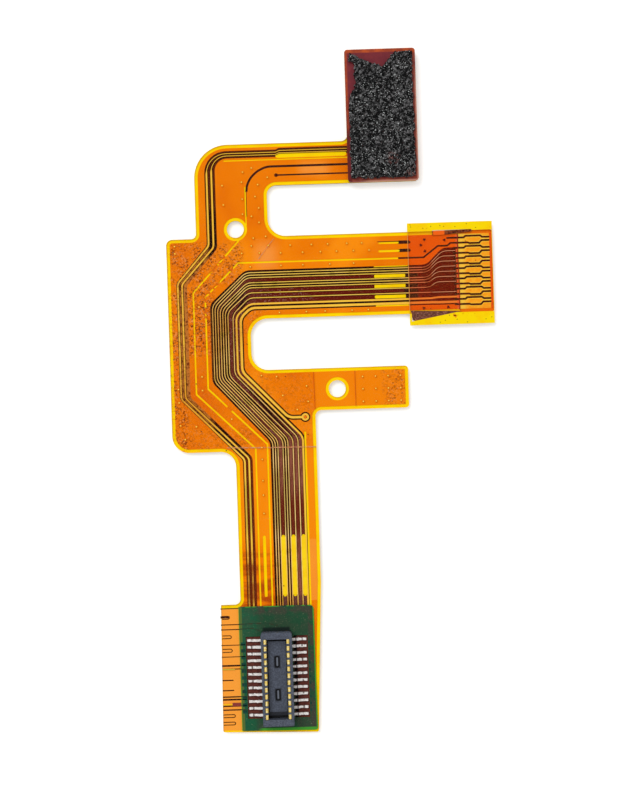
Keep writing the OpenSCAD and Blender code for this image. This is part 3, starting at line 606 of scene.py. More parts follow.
def wide_gap_bands(height):
    """Flat bands down the middle of the wide gaps. Each is a strip of quads between two lanes, drawn in from
    both, with the quads that cross a window left out."""
    bands = []
    for side_a, side_b, windows in WIDE_GAPS:
        a, b = lane(*side_a), lane(*side_b)
        middle = (a + b) / 2
        normal = normals(middle)
        normal = np.vstack([normal[:1], normal])
        keep = np.maximum(np.abs(((b - a) * normal).sum(1)) / 2 - BAND_INSET, BAND_LEAST)
        # The windows' ends are extra points on the first and the last side
        extra, places = [1, 1, -1, -1], [1, 1, len(normal) - 1, len(normal) - 1]
        ends = [(x, middle[0, 1]) for x in ARM_WINDOW] + [(middle[-1, 0], y) for y in STEM_WINDOW]
        middle = np.insert(middle, places, ends, axis=0)
        keep = np.insert(keep, places, keep[extra])[:, None]
        normal = np.insert(normal, places, normal[extra], axis=0)
        n = len(middle)
        corners = np.vstack([middle + normal * keep, middle - normal * keep])
        cut = {1, n - 3} if windows else set()
        faces = [[n + k, n + k + 1, k + 1, k] for k in range(n - 1) if k not in cut]
        bands.append((lift(corners, height), faces))
    return bands


class FLEX_OT_copper(bpy.types.Operator):
    """Finishes both copper layers, with the dark gaps that show the lower one through the film"""

    bl_idname = "flex.copper"
    bl_label = "Copper"

    def execute(self, context):
        ground = copper_finish("ground_copper", "ground", "ground_light", "ground_deep", "taped_ground").material
        dress(ground, "top_ground", "plating_stubs", "bottom_copper")
        sheet_from("bottom_copper", "underside_copper", -0.003, -GAP, ground)
        self.gaps()

        t = copper_finish("track_copper", "track", (252, 214, 138), (222, 158, 66), "taped_track", 0.6)
        olive = t.times(t.spots(1.7, 2.0, 0.5, 0.52, 0.64), 0.4, t.ramp(t.x, 9.9, 9.3))
        low = t.times(t.box((1.5, -17.8), (2.75, -14.2), 0.5), 0.6)
        track = t.over(
            (t.box((0.5, -6.0), (9.9, -2.0), 0.8), (242, 196, 60), 0.7),
            (t.most(olive, low), "track_olive"),
            (t.box((TAPE_LEFT, -6.0), (11.5, -2.0), 0.01), (212, 84, 40), 0.75),
        )
        dress(track, "signal_tracks")

        t = copper_finish("supply_copper", "supply", (252, 204, 70), (222, 148, 40), (240, 108, 40), 0.5)
        supply = t.over(
            (t.box((-0.2, -17.9), (0.9, -15.0), 0.4), (176, 156, 50), 0.6),
            (t.box((-0.2, -22.2), (0.75, -19.6), 0.3), (150, 84, 30), 0.65),
        )
        dress(supply, "supply_tracks", "sensor_tracks")

        t = Finish("pads", 0.42, 0.06)
        (left, *_), (right, *_) = span("tail_pads")
        pads = t.colour(
            "pad",
            (t.spots(3.0, 3.0, 0.6, 0.45, 0.66), (254, 176, 40)),
            (t.ramp(t.x, left + 0.75, left + 0.3), "pad_edge", 0.8),
            (t.spots(8.0, 2.0, 0.6, 0.64, 0.7), (236, 138, 16)),
            (t.ramp(t.x, right - 0.16, right - 0.1), (238, 84, 8)),
            (t.ramp(t.x, left + 0.16, left + 0.12), (236, 96, 44)),
        )
        dress(pads, "tail_pads")
        return {"FINISHED"}

    def gaps(self):
        """The narrow gaps, the board between the lands, and the mottled wide gaps."""
        t = Finish("gap", 0.5, 0.04)
        tan = t.mix(t.spots(4.0, 3.0, 0.6, 0.48, 0.64), (206, 124, 46), (124, 56, 14))
        base = t.layers(
            "gap",
            (t.spots(2.2, 2.0, 0.5, 0.4, 0.7), (58, 10, 2)),
            (t.box((-3.8, -12.7), (-1.7, 1.4), 0.2), tan, 0.85),
            (t.box((-0.5, -22.4), (0.85, -13.4), 0.1), (112, 38, 10), 0.85),
            (t.box((-2.4, 1.2), (7.0, 4.9), 0.2), (112, 44, 12), 0.5),
            (t.group("adhesive_mottle", Amount=1.0)["Pale"], (176, 104, 66), 0.6),
        )
        taped = t.layers(
            "taped_gap",
            (t.spots(7.0, 3.0, 0.65, 0.5, 0.62), (128, 18, 8)),
            (t.ramp(t.x, 10.75, 10.55), (74, 18, 8)),
            (t.ramp(t.x, 12.95, 13.1), (66, 14, 4)),
        )
        t.taped(base, taped)
        (l, *_), (r, top, _) = span("connector_lands")
        lands = t.box((l - 0.2, -31.0), (r + 0.2, top + 0.3), 0.01)
        off = t.minus(t.x, (l + r) / 2)
        # Painted shadow: between the tails just right of the housing's right wall, the board is painted near black
        housing_shadow = t.times(t.ramp(off, 0.98, 1.0), t.ramp(off, 1.2, 1.15), lands)
        board = t.mix(t.spots(7.0, 3.0, 0.6, 0.4, 0.62), "land_gap", (92, 48, 42))
        gap = t.over((lands, board), (housing_shadow, (12, 12, 14)))
        sheet_from("bottom_copper", "gap_copper", FILM_TOP + GAP / 4, FILM_TOP + 3 * GAP, gap)

        t = Finish("wide_gap", 0.5, 0.04)
        fibre = t.spots(1.6, 3.0, 0.6, 0.45, 0.6, t.vector("MULTIPLY", 6.0, 0.9, 1.0))
        crumb = t.times(t.spots(11.0, 3.0, 0.65, 0.54, 0.64), t.box((-4.0, -12.6), (4.3, -3.6), 0.4))
        taped = t.mix(t.spots(7.0, 3.0, 0.65, 0.5, 0.62), "taped_gap", (128, 18, 8))
        band = t.colour(
            "wide_gap",
            (t.ramp(t.y, -11.5, -13.4), "stem_gap"),
            (fibre, (92, 34, 16), 0.5),
            (t.box((1.5, -18.4), (4.2, -15.6), 0.8), (102, 26, 8), 0.9),
            (t.ramp(t.y, -21.5, -21.9), (88, 52, 48), 0.8),
            (t.box((1.2, -6.0), (9.9, -2.0), 0.9), (98, 16, 3), 0.9),
            (crumb, (150, 104, 96), 0.75),
            (t.box((9.85, -6.0), (10.65, -2.0), 0.03), (56, 22, 12)),
            (t.ramp(t.x, 10.65, 10.7), taped),
        )
        new_piece("wide_gap_bands", wide_gap_bands(FILM_TOP + 5 * GAP), band)


class FLEX_OT_cover(bpy.types.Operator):
    """Makes the clear cover film, the raised via dots, the crease, the dirt and the edges of the adhesive patches"""

    bl_idname = "flex.cover"
    bl_label = "Cover film and vias"

    def execute(self, context):
        t = Finish("cover_film", 0.25, 0.3)
        scratches = t.ramp(t.noise(1.3, 3.0, 0.6, t.vector("MULTIPLY", 0.6, 9.0, 1.0), 0.6), 0.66, 0.74)
        dust = t.spots(26.0, 1.0, 0.5, 0.74, 0.78)
        t.set("Alpha", t.plus(t.most(t.times(scratches, 0.06), t.times(dust, 0.3)), 0.003))
        cover = t.colour((255, 206, 120))
        cover.surface_render_method = "BLENDED"
        sheet = sheet_from("top_cover_film", "cover_sheet", COVER_TOP - 2 * GAP, COVER_TOP, cover)
        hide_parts("top_cover_film")

        new_vias("vias", VIAS, COVER_TOP + GAP)
        dark = discs(TAPED_VIAS, 0.075, COVER_TOP + GAP, 14)
        marked("taped_vias", [dark], "ground_copper", "taped_via", (66, 8, 6), (96, 14, 8), 9.0)
        dirt = discs(DIRT, 0.032, COVER_TOP + 2 * GAP)
        marked("dirt_specks", [dirt], "film", "dirt", (96, 34, 8), (60, 22, 10), 8.0)
        self.on_copper(COPPER_TOP)
        self.on_film()
        return {"FINISHED"}

    def on_copper(self, top):
        """Marks under the cover film: gaps that run alone, tracks' edges darkened with painted shade, bright windows
        and fringes.
        """
        lines = [ribbon(path, width, top, top + GAP) for path, width in gap_routes()]
        marked("gap_lines", lines, "ground_copper", "gap_line", (38, 6, 0), (62, 14, 2), 2.0)
        t = Finish("track_edge", 0.5, 0.02)
        shadow = t.taped(t.mix(t.ramp(t.y, -12.0, -14.0), (26, 4, 0), (84, 28, 10)), (86, 8, 4))
        strips = [
            edge_strips("signal_tracks", 0.024, top + 1.5 * GAP, high=(TAPE_LEFT, FAR)),
            edge_strips("signal_tracks", 0.046, top + 1.5 * GAP, low=(TAPE_LEFT, -FAR)),
            edge_strips("sensor_tracks", 0.03, top + 1.5 * GAP),
        ]
        new_piece("track_edges", strips, shadow)
        ends = STEM_WINDOW[0] - 0.1, STEM_WINDOW[1] + 0.1
        places = [lane(step, step, step)[-1, 0] for step in (4, 8, 12)]
        bars = [ribbon([(x, y) for y in ends], 0.26, top + 2 * GAP, top + 3 * GAP) for x in places]
        marked("stem_windows", bars, "film", "stem_window", (255, 216, 16), (252, 206, 10), 2.0)
        fringe = [ribbon(pad_line(k)[1:], 0.19, top, top + GAP / 2) for k in range(PAD_LINES)]
        marked("pad_fringes", fringe, "ground_copper", "pad_fringe", (255, 204, 62), (252, 186, 40), 3.0)
        spot = discs([(3.77, -11.19)], 0.1, top + GAP, 16)
        marked("test_point_centre", [spot], "ground_copper", "test_point", (240, 126, 12), (226, 104, 6), 6.0)

    def on_film(self):
        """Marks on the cover film: the adhesive patches' edges, the window's edge and the crease."""
        lines = [
            ribbon([(4.33, -8.56), (4.36, -10.75)], 0.03, *ON_COVER),
            ribbon([(6.77, -8.55), (6.78, -10.65)], 0.03, *ON_COVER),
        ]
        marked("patch_edges", lines, "ground_copper", "patch_edge", (214, 92, 8), (196, 78, 8), 6.0)
        (left, bottom, _), (_, y, _) = span("tail_pads")
        x = left + 0.14
        path = [(x, y + 0.02), (x - 0.02, y - 1.4), (x + 0.01, y - 2.9), (x, bottom - 0.04)]
        edge = ribbon(path, 0.05, *ON_COVER)
        marked("window_edge", [edge], "film", "window_edge", (112, 8, 8), (150, 24, 10), 7.0)
        t = Finish("crease", 0.6, 0.05)
        t.set("Alpha", t.plus(t.times(t.spots(7.0, 3.0, 0.6, 0.4, 0.6), 0.55), 0.12))
        crease = t.colour((236, 158, 100), (t.spots(5.0, 2.0, 0.5, 0.42, 0.6), (222, 160, 120)))
        low, high = ON_COVER
        lines = [
            ribbon([(-0.9, -12.86), (1.15, -12.92), (4.34, -12.96)], 0.07, low, high),
            ribbon([(2.24, -0.62), (1.86, -1.08), (1.3, -1.8)], 0.04, low + 2 * GAP, high + 2 * GAP),
        ]
        new_piece("crease_lines", lines, crease)


def pad_line(k):
    """Gap line k between the hot-bar pads: even lines rise in the middle, odd ones dip and end high."""
    x, rise, end, reach = (13.44, 0.09, 0.0, (0.98, 1.1)) if k % 2 == 0 else (13.67, -0.04, 0.11, (0.68, 0.82))
    start, y = 12.95 if k < 2 else 12.8, -0.902 - PAD_PITCH * k
    middle = [(x + 0.11, y + rise), (x + reach[0], y + rise)]
    return [(start, y), (x, y), *middle, (x + reach[1], y + end), (14.95, y + end)]


# Gaps across the shoulder: how far below its top edge, length and width
SHOULDER_GAPS = (
    (0.21, 1.05, 0.05), (1.16, 1.05, 0.06), (1.45, 1.05, 0.06), (2.37, 1.05, 0.05), (3.06, 1.05, 0.05),
    (3.58, 1.05, 0.1), (4.44, 0.6, 0.07), (5.04, 0.62, 0.07), (5.42, 1.05, 0.08), (5.58, 1.05, 0.1),
    (5.96, 1.05, 0.08), (6.19, 1.05, 0.08), (0.71, 0.58, 0.13),
)


def gap_routes():
    """Routes and widths of the narrow gaps that run alone, which look darkest."""
    arc = rounded([(0.72, 2.2), (0.76, 2.58), (0.98, 3.02), (1.39, 3.4), (1.94, 3.65), (6.74, 3.65)], 1.4)
    fan = [(12.95, -1.204), (12.65, -1.204), (12.47, -1.355), (11.9, -1.355), (11.05, -2.0), (9.55, -2.0)]
    routes = [(pad_line(k), 0.115) for k in range(PAD_LINES)]
    routes += [
        ([(12.45, -0.902), (12.95, -0.902)], 0.11),
        (fan, 0.1),
        ([(9.6, -1.06), (10.22, -1.06)], 0.19),
        ([(9.68, -1.55), (10.24, -1.55)], 0.19),
        ([(8.35, -1.0), (9.7, -1.0)], 0.04),
        (arc, 0.13),
        ([(2.5, 3.13), (6.74, 3.13)], 0.09),
    ]
    for drop, length, width in SHOULDER_GAPS:
        routes.append(([(-1.62, SHOULDER_TOP - drop), (-1.66 + length, SHOULDER_TOP - drop)], width))
    return routes


# Places of the dark specks of dirt on the cable and on the tape, in millimetres
DIRT = (
    (-2.24, -7.13), (-2.39, -11.85), (-3.02, -12.4), (3.9, -12.23), (2.67, -8.77), (0.47, -6.78),
    (-3.71, -8.15), (-3.72, -7.58), (-2.59, -9.04), (-0.96, -13.02), (0.53, -12.09), (-0.24, -8.64),
    (-4.06, -8.52), (2.18, -21.1),
)
TAPE_DIRT = (
    (11.52, -0.2), (12.94, -0.26), (13.62, -0.11), (14.16, -0.35), (10.3, -0.08), (12.06, -0.17),
    (12.28, -0.22), (11.9, -5.87), (12.2, -5.76), (12.46, -5.47), (10.81, -5.61), (14.95, -5.65),
    (11.37, -5.04), (14.1, -2.28), (13.54, -1.12), (15.05, -4.89), (10.33, -0.2), (11.05, -0.3),
    (13.5, -5.9), (14.6, -5.75), (12.9, -5.72),
)

# Centres of the vias in millimetres: rows along the arms and the tab, a column down the stem, and single ones
VIA_ROWS = (
    (-1.03, (3.2, 4.45, 5.41, 6.54, 7.42)),
    (-1.47, (2.62, 3.92, 4.97, 5.92, 6.92, 7.84)),
    (-2.21, (2.62, 3.91, 5.5, 6.91)),
    (-4.98, (2.44, 4.03, 5.14, 6.73, 7.69)),
    *((y, (7.22, 7.98, 8.72, 9.45)) for y in (-8.91, -9.64, -10.38)),
    *((y, (1.15,)) for y in (-12.91, -13.61, -14.86, -15.72, -16.8)),
)
VIAS = (
    *((x, y) for y, row in VIA_ROWS for x in row),
    (-0.7, 2.6), (-0.66, 1.46), (0.53, 3.36), (0.45, 2.77), (0.46, 1.77), (0.45, 0.88), (1.05, 3.59),
    (1.98, 3.01), (1.4, 2.6), (1.22, 1.9), (1.42, 1.22), (0.97, 0.74), (1.41, 0.37), (3.9, -9.36),
    (3.97, -10.28), (1.04, -0.55), (0.91, -1.0), (1.77, -0.47), (1.91, -1.0), (1.37, -1.44),
    (0.33, -1.43), (0.81, -2.23), (-3.62, -0.9), (-3.61, -1.33), (-2.29, -4.51), (-2.24, -8.63),
    (-2.24, -9.44), (-3.66, -9.33), (-3.64, -10.12), (-3.6, -11.48), (-2.67, -11.56), (-3.35, -12.3),
    (-0.57, -11.18), (1.26, -8.66), (2.15, -8.75), (3.31, -10.74), (2.48, -9.88),
)
TAPED_VIAS = ((11.12, -0.96), (10.9, -1.28), (11.13, -1.64), (12.3, -1.02), (10.97, -5.0), (12.41, -4.98))


def new_vias(name, centres, base):
    """Low domes: height falls from the middle to the outer radius as the square of a cosine. Their points stand
    in rings, and a stored number from 0 in the middle to 1 at the rim colours them: a pale painted highlight in the
    middle, a darker ring of painted shade, and the ground copper at the rim."""
    radius, height, rings, n = 0.085, 0.01, 5, 14
    r = np.linspace(0, 1, rings)[1:]
    angle = np.linspace(0, 2 * math.pi, n, endpoint=False)
    grid = np.stack([np.cos(angle)[None] * r[:, None], np.sin(angle)[None] * r[:, None]], -1) * radius
    rises = np.repeat(height * np.cos(r * math.pi / 2) ** 2, n)
    dome = np.vstack([[0, 0, height], np.column_stack([grid.reshape(-1, 2), rises])])
    faces = [[0, 1 + a, 1 + (a + 1) % n] for a in range(n)]
    for s in range(1, 1 + (rings - 2) * n, n):
        faces += [[s + a, s + n + a, s + n + (a + 1) % n, s + (a + 1) % n] for a in range(n)]
    parts = [(dome + [x, y, base], faces) for x, y in centres]
    t = Finish(name[:-1], 0.6, 0.0)
    share = t.add("ShaderNodeAttribute", attribute_name="radial").outputs["Fac"]
    via = t.colour((255, 214, 84), (t.ramp(share, 0.4, 0.6), (208, 98, 0)), (t.ramp(share, 0.62, 0.95), "ground"))
    piece = new_piece(name, parts, via, smooth=True)
    tag(piece, "radial", np.tile(np.concatenate([[0.0], np.repeat(r, n)]), len(centres)))


# Coloured bars across the shoulder: start, end, width and colour
SHOULDER_BARS = (
    ((-1.6, -25.93), (-0.86, -25.94), 0.07, (206, 178, 54)),
    ((-1.62, -28.0), (-1.07, -28.01), 0.1, (250, 186, 24)),
    ((-1.07, -28.01), (-0.53, -28.02), 0.2, (140, 58, 52)),
)


class FLEX_OT_resist(bpy.types.Operator):
    """Finishes the green solder resist, with the tracks that show as ribs beneath it"""

    bl_idname = "flex.resist"
    bl_label = "Solder resist"

    def execute(self, context):
        (l, b, _), (r, h, top) = span("solder_mask")
        t = Finish("resist", 0.5, 0.15)
        x, y = t.x, t.y
        cloud, grain = t.noise(1.6, 3.0, 0.6), t.noise(12.0, 3.0, 0.65)
        # How far in from its right side, which leans out by 0.04 from top to bottom
        from_right = t.plus(t.minus(r - 0.04, x), t.times(t.minus(h, y), 0.0055))
        brown = t.most(
            t.times(t.ramp(y, h - 0.75, h - 0.3), t.ramp(x, l + 0.5, l + 1.2)),
            t.times(t.ramp(from_right, 0.46, 0.3), t.ramp(from_right, 0.03, 0.07)),
            t.times(t.ramp(y, b + 1.1, b + 0.7), t.ramp(x, l + 0.7, l + 1.1), 0.6),
            t.times(t.ramp(y, h - 2.4, h - 1.0), 0.35),
        )
        shadow = t.most(
            t.times(t.box((0.85, -23.95), (2.45, -23.53), 0.07), t.ramp(cloud, 0.26, 0.44)),
            t.box((0.8, -23.95), (2.5, -23.7), 0.05),
        )
        rim = t.most(
            t.ramp(from_right, 0.08, 0.05),
            t.times(t.ramp(y, b + 0.22, b + 0.15), t.ramp(x, l + 0.9, l + 1.3)),
            t.times(t.ramp(y, h - 0.07, h - 0.03), t.spots(3.0, 2.0, 0.5, 0.45, 0.6)),
            t.ramp(x, l + 0.04, l + 0.02),
        )
        resist = t.colour(
            "resist",
            (t.ramp(x, l + 1.5, l + 0.5), (16, 92, 60), 0.8),
            (t.spots(1.3, 3.0, 0.55, 0.4, 0.7), (26, 84, 50), 0.4),
            (t.times(brown, t.ramp(cloud, 0.34, 0.56)), "resist_brown", 0.9),
            (t.ramp(grain, 0.58, 0.7), (104, 96, 80), 0.3),
            (t.ramp(grain, 0.44, 0.36), (12, 50, 36), 0.35),
            (t.spots(17.0, 1.0, 0.5, 0.72, 0.76), (188, 186, 150), 0.6),
            (shadow, (8, 24, 22), 0.92),
            (t.ramp(x, l + 0.2, l + 0.17), (96, 112, 42), 0.75),
            (rim, "resist_edge", 0.85),
        )
        t.bump(t.noise(18.0, 3.0, 0.6), 0.3, 0.01)
        dress(resist, "solder_mask")

        (left, bottom, _), (right, upper, _) = span("connector_lands")
        rows = np.linspace(bottom + 0.1, upper - 0.1, CONTACTS_PER_ROW)
        between = (rows[1:] + rows[:-1]) / 2
        low, high = top - GAP, top + 2 * GAP
        ribs = [ribbon([(left - 0.36, y), (left - 0.1, y)], 0.2, low, high) for y in between]
        ribs += [ribbon([(right + 0.1, y), (right + 0.2, y)], 0.14, low, high) for y in between]
        marked("resist_ribs", ribs, "mask", "resist_teal", (8, 56, 46), (14, 74, 58), 4.0, 0.15)
        lines = []
        for drop, reach in ((1.16, 2.3), (1.45, 1.2)):
            y = SHOULDER_TOP - drop
            path = rounded([(l, y + 0.02), (l + reach * 0.7, y + 0.05), (l + reach, y - 0.12)], 0.4)
            lines.append(ribbon(path, 0.06, low, high))
        for drop in (2.37, 3.06, 3.58, 3.8, 5.42, 5.6, 5.97, 6.2):
            y = SHOULDER_TOP + 0.02 - drop
            lines.append(ribbon([(l, y), (l + 0.32, y)], 0.05, low, high))
        marked("resist_lines", lines, "mask", "resist_line", (52, 54, 34), (24, 66, 46), 4.0, 0.15)
        for number, (start, end, width, colour) in enumerate(SHOULDER_BARS, 1):
            bar = ribbon([start, end], width, *ON_COVER)
            finish = f"shoulder_mark_{number}", colour, colour, 3.0
            marked(f"shoulder_bar_{number}", [bar], "ground_copper", *finish)
        return {"FINISHED"}


class FLEX_OT_connector(bpy.types.Operator):
    """Finishes the connector's housing, its gold contacts, their soldered tails and the lands"""

    bl_idname = "flex.connector"
    bl_label = "Connector"

    def execute(self, context):
        (l, b, _), (r, h, top) = span("connector_housing")
        t = Finish("housing", 0.5, 0.3)
        y, z = t.y, t.z
        cx, cy = (l + r) / 2, (b + h) / 2
        # Painted shade: the hole at the lower end and the two floor pockets, less their ribs, are painted near black
        # below their rims
        holes = [t.box((l + 0.38, b + 0.5), (r - 0.38, b + 0.78), 0.03)]
        for middle in (cy - 0.968, cy + 0.968):
            pocket = t.box((cx - 0.19, middle - 0.37), (cx + 0.19, middle + 0.37), 0.05)
            bar = t.box((cx - 0.045, middle - 0.25), (cx + 0.045, middle + 0.25), 0.02)
            holes.append(t.math("SUBTRACT", pocket, bar, clamp=True))
        ends = t.most(t.ramp(y, b + 0.5, b + 0.3), t.ramp(y, h - 0.5, h - 0.3))
        housing = t.colour(
            "housing",
            (t.spots(10.0, 3.0, 0.6, 0.4, 0.66), (82, 89, 104)),
            (t.times(ends, t.spots(16.0, 2.0, 0.6, 0.58, 0.68)), (112, 118, 134), 0.6),
            (t.times(t.ramp(z, top - 0.46, top - 0.48), t.ramp(z, top - 0.52, top - 0.505)), (120, 126, 138), 0.6),
            # Painted shade: everything more than 0.53 below the top, down in the troughs, is painted near black
            (t.ramp(z, top - 0.505, top - 0.53), (6, 7, 9), 0.9),
            (t.times(t.most(*holes), t.ramp(z, top - 0.3, top - 0.4)), (12, 15, 24), 0.9),
        )
        t.bump(t.noise(45.0, 2.0, 0.6), 0.35, 0.006)
        dress(housing, "connector_housing")

        t = Finish("contact", 0.5, 0.4, 0.2)
        (left, *_), (right, *_) = span("connector_lands")
        middle = (left + right) / 2
        off = t.math("ABSOLUTE", t.minus(t.x, middle))
        # Painted highlights: lighter patches on the gold and near-white ones on the tin; the same pattern also varies
        # the roughness
        blotch = t.spots(11.0, 2.0, 0.6, 0.42, 0.6)
        # Painted shade: a dark band across each tail at its bend, and on the right-hand row a dark band next to the
        # housing wall
        bend_shade = t.times(t.ramp(off, 1.42, 1.46), t.ramp(off, 1.56, 1.51), t.spots(4.5, 2.0, 0.5, 0.4, 0.52))
        inner = t.times(t.ramp(off, 1.08, 1.11), t.ramp(off, 1.19, 1.15), t.ramp(t.x, middle - 0.1, middle + 0.1))
        tin = t.layers("tin", (blotch, (253, 251, 248)), (t.most(bend_shade, inner), (66, 44, 40), 0.85))
        contact = t.colour(
            "gold",
            (blotch, (255, 240, 176)),
            # Painted shade: the gold is painted browner lower down in the slot
            (t.ramp(t.z, top - 0.06, top - 0.2), (120, 92, 40)),
            (t.ramp(t.z, 0.42, 0.36), t.mix(land_core(t), SOLDER_SHADE, tin)),
        )
        t.set("Roughness", t.plus(t.times(blotch, 0.15), 0.3))
        t.bump(t.noise(20.0, 2.0, 0.6), 0.4, 0.01)
        dress(contact, "contacts_left", "contacts_right")

        t = Finish("tin", 0.35, 0.4, 0.2)
        base = t.mix(t.spots(13.0, 3.0, 0.6, 0.4, 0.62), (214, 204, 198), (252, 250, 248))
        dress(t.colour(SOLDER_SHADE, (land_core(t), base)), "connector_lands", "solder_joints")
        return {"FINISHED"}


SOLDER_SHADE = (104, 62, 52)


def land_core(t):
    """1 along the middle of every connector land, about 0.07 each way with a slight wander, and 0 beside it."""
    (_, low, _), (_, high, _) = span("connector_lands")
    turn = t.math("FRACT", t.times(t.minus(t.y, (low + high) / 2), 2.5))
    aside = t.times(t.math("ABSOLUTE", t.minus(turn, 0.5)), 0.4)
    wander = t.times(t.minus(t.noise(5.0), 0.5), 0.08)
    return t.ramp(t.plus(aside, wander), 0.08, 0.062)


class FLEX_OT_tape(bpy.types.Operator):
    """Makes the see-through tape over the tail, its cut edges and dirt, and finishes the two scraps under it"""

    bl_idname = "flex.tape"
    bl_label = "Tail tape"

    def execute(self, context):
        (l, b, low), (r, h, _) = span("tail_tape")
        (_, pads_low, _), (_, pads_high, _) = span("tail_pads")
        t = Finish("tape", 0.3, 0.06)
        # Height over the liner's slanted lower side
        above = t.minus(t.plus(t.y, 5.74), t.times(t.minus(t.x, l + 0.3), 0.1786))
        clear = t.most(
            t.box((l - 1, pads_low - 0.19), (r - 0.03, pads_high + 0.19), 0.015),
            t.box((l + 1.47, pads_high - 0.1), (l + 3.8, -0.435), 0.01),
            t.times(t.ramp(above, -0.015, 0.015), t.box((l + 0.12, b), (l + 3.2, pads_low), 0.02)),
        )
        tape = t.colour(
            (255, 221, 0),
            (t.spots(1.2, 2.0, 0.5, 0.4, 0.7), (255, 209, 0)),
            (t.spots(9.0, 3.0, 0.6, 0.66, 0.7), (214, 150, 6), 0.8),
            (clear, (240, 120, 20)),
        )
        t.set("Alpha", t.minus(0.98, t.times(clear, 0.96)))
        tape.surface_render_method = "BLENDED"
        sheet = sheet_from("tail_tape", "tape_sheet", TAPE_TOP - 4 * GAP, TAPE_TOP, tape)
        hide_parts("tail_tape")

        t = Finish("tape_edge", 0.5, 0.1)
        side = t.times(t.ramp(t.x, l + 0.06, l + 0.03), t.box((l - 1, pads_low), (r, pads_high), 0.02))
        edge = t.colour(
            (244, 200, 10), (t.spots(2.4, 3.0, 0.7, 0.52, 0.6), (112, 74, 20)), (side, (232, 158, 84), 0.9)
        )
        g = 0.014
        path = [(l + g, b + g), (r - g, b + g), (r - g, h - g), (l + g, h - g), (l + g, b + g)]
        new_piece("tape_edges", [ribbon(path, 2 * g, low, TAPE_TOP - GAP / 2)], edge)
        dirt = discs(TAPE_DIRT, 0.028, TAPE_TOP + GAP)
        marked("tape_specks", [dirt], "tape", "tape_dirt", (84, 48, 16), (50, 24, 12), 8.0)
        smudge = discs([(12.82, -5.53), (12.75, -5.47)], 0.09, TAPE_TOP + GAP)
        marked("tape_smudges", [smudge], "tape", "tape_smudge", (236, 132, 10), (246, 170, 6), 9.0)

        t = Finish("liner", 0.7, 0.1)
        flecks = t.spots(15.0, 2.0, 0.6, 0.58, 0.68)
        liner = t.colour((112, 72, 62), (t.spots(9.0, 3.0, 0.6, 0.42, 0.6), (74, 44, 38)), (flecks, (186, 132, 112)))
        dress(liner, "trapped_liner")

        t = Finish("film_scrap", 0.6, 0.1)
        orange = t.times(t.ramp(t.x, 12.36, 12.28), t.ramp(t.x, 11.63, 11.66))
        scrap = t.colour((66, 14, 6), (t.spots(10.0, 3.0, 0.6, 0.46, 0.58), (128, 62, 36)), (orange, (246, 100, 14)))
        dress(scrap, "trapped_strip")
        return {"FINISHED"}


class FLEX_OT_stiffener(bpy.types.Operator):
    """Finishes the stiffener board: maroon with a border that is coppery on two sides and red on the others"""

    bl_idname = "flex.stiffener"
    bl_label = "Arm stiffener"

    def execute(self, context):
        (l, b, _), (r, h, _) = span("arm_stiffener")
        t = Finish("plate", 0.42, 0.2)
        x, y = t.x, t.y
        wobble = t.times(t.minus(t.noise(1.2), 0.5), 0.06)
        blotch = t.spots(2.4, 3.0, 0.6, 0.4, 0.65)
        lower = t.times(t.ramp(x, l + 0.6, l + 0.2), t.ramp(y, b + 3.6, b + 2.6))
        line = t.times(t.ramp(x, r - 0.1, r - 0.06), t.ramp(y, h - 0.9, h - 2.6))
        low_line = t.times(t.ramp(y, b + 0.09, b + 0.06), t.ramp(x, l + 0.5, l + 1.5))
        red = t.layers("plate_rim_red", (blotch, (188, 78, 24)), (lower, (104, 22, 18)))
        board = t.mix(t.spots(2.0, 3.0, 0.6, 0.4, 0.7), "plate", (128, 38, 44))
        plate = t.colour(
            "plate_rim",
            (blotch, (132, 50, 42)),
            (t.most(t.ramp(y, h - 0.35, h - 0.25), t.ramp(x, l + 0.3, l + 0.2)), red),
            (t.most(line, low_line), (216, 148, 124), 0.75),
            (t.ramp(x, l + 0.035, l + 0.015), (112, 34, 22), 0.6),
            (t.box((l + 0.14, b + 0.22), (r - 0.2, h - 0.2), 0.04, wobble), board),
        )
        t.bump(t.noise(6.0, 3.0, 0.6), 0.2, 0.02)
        dress(plate, "arm_stiffener")
        return {"FINISHED"}


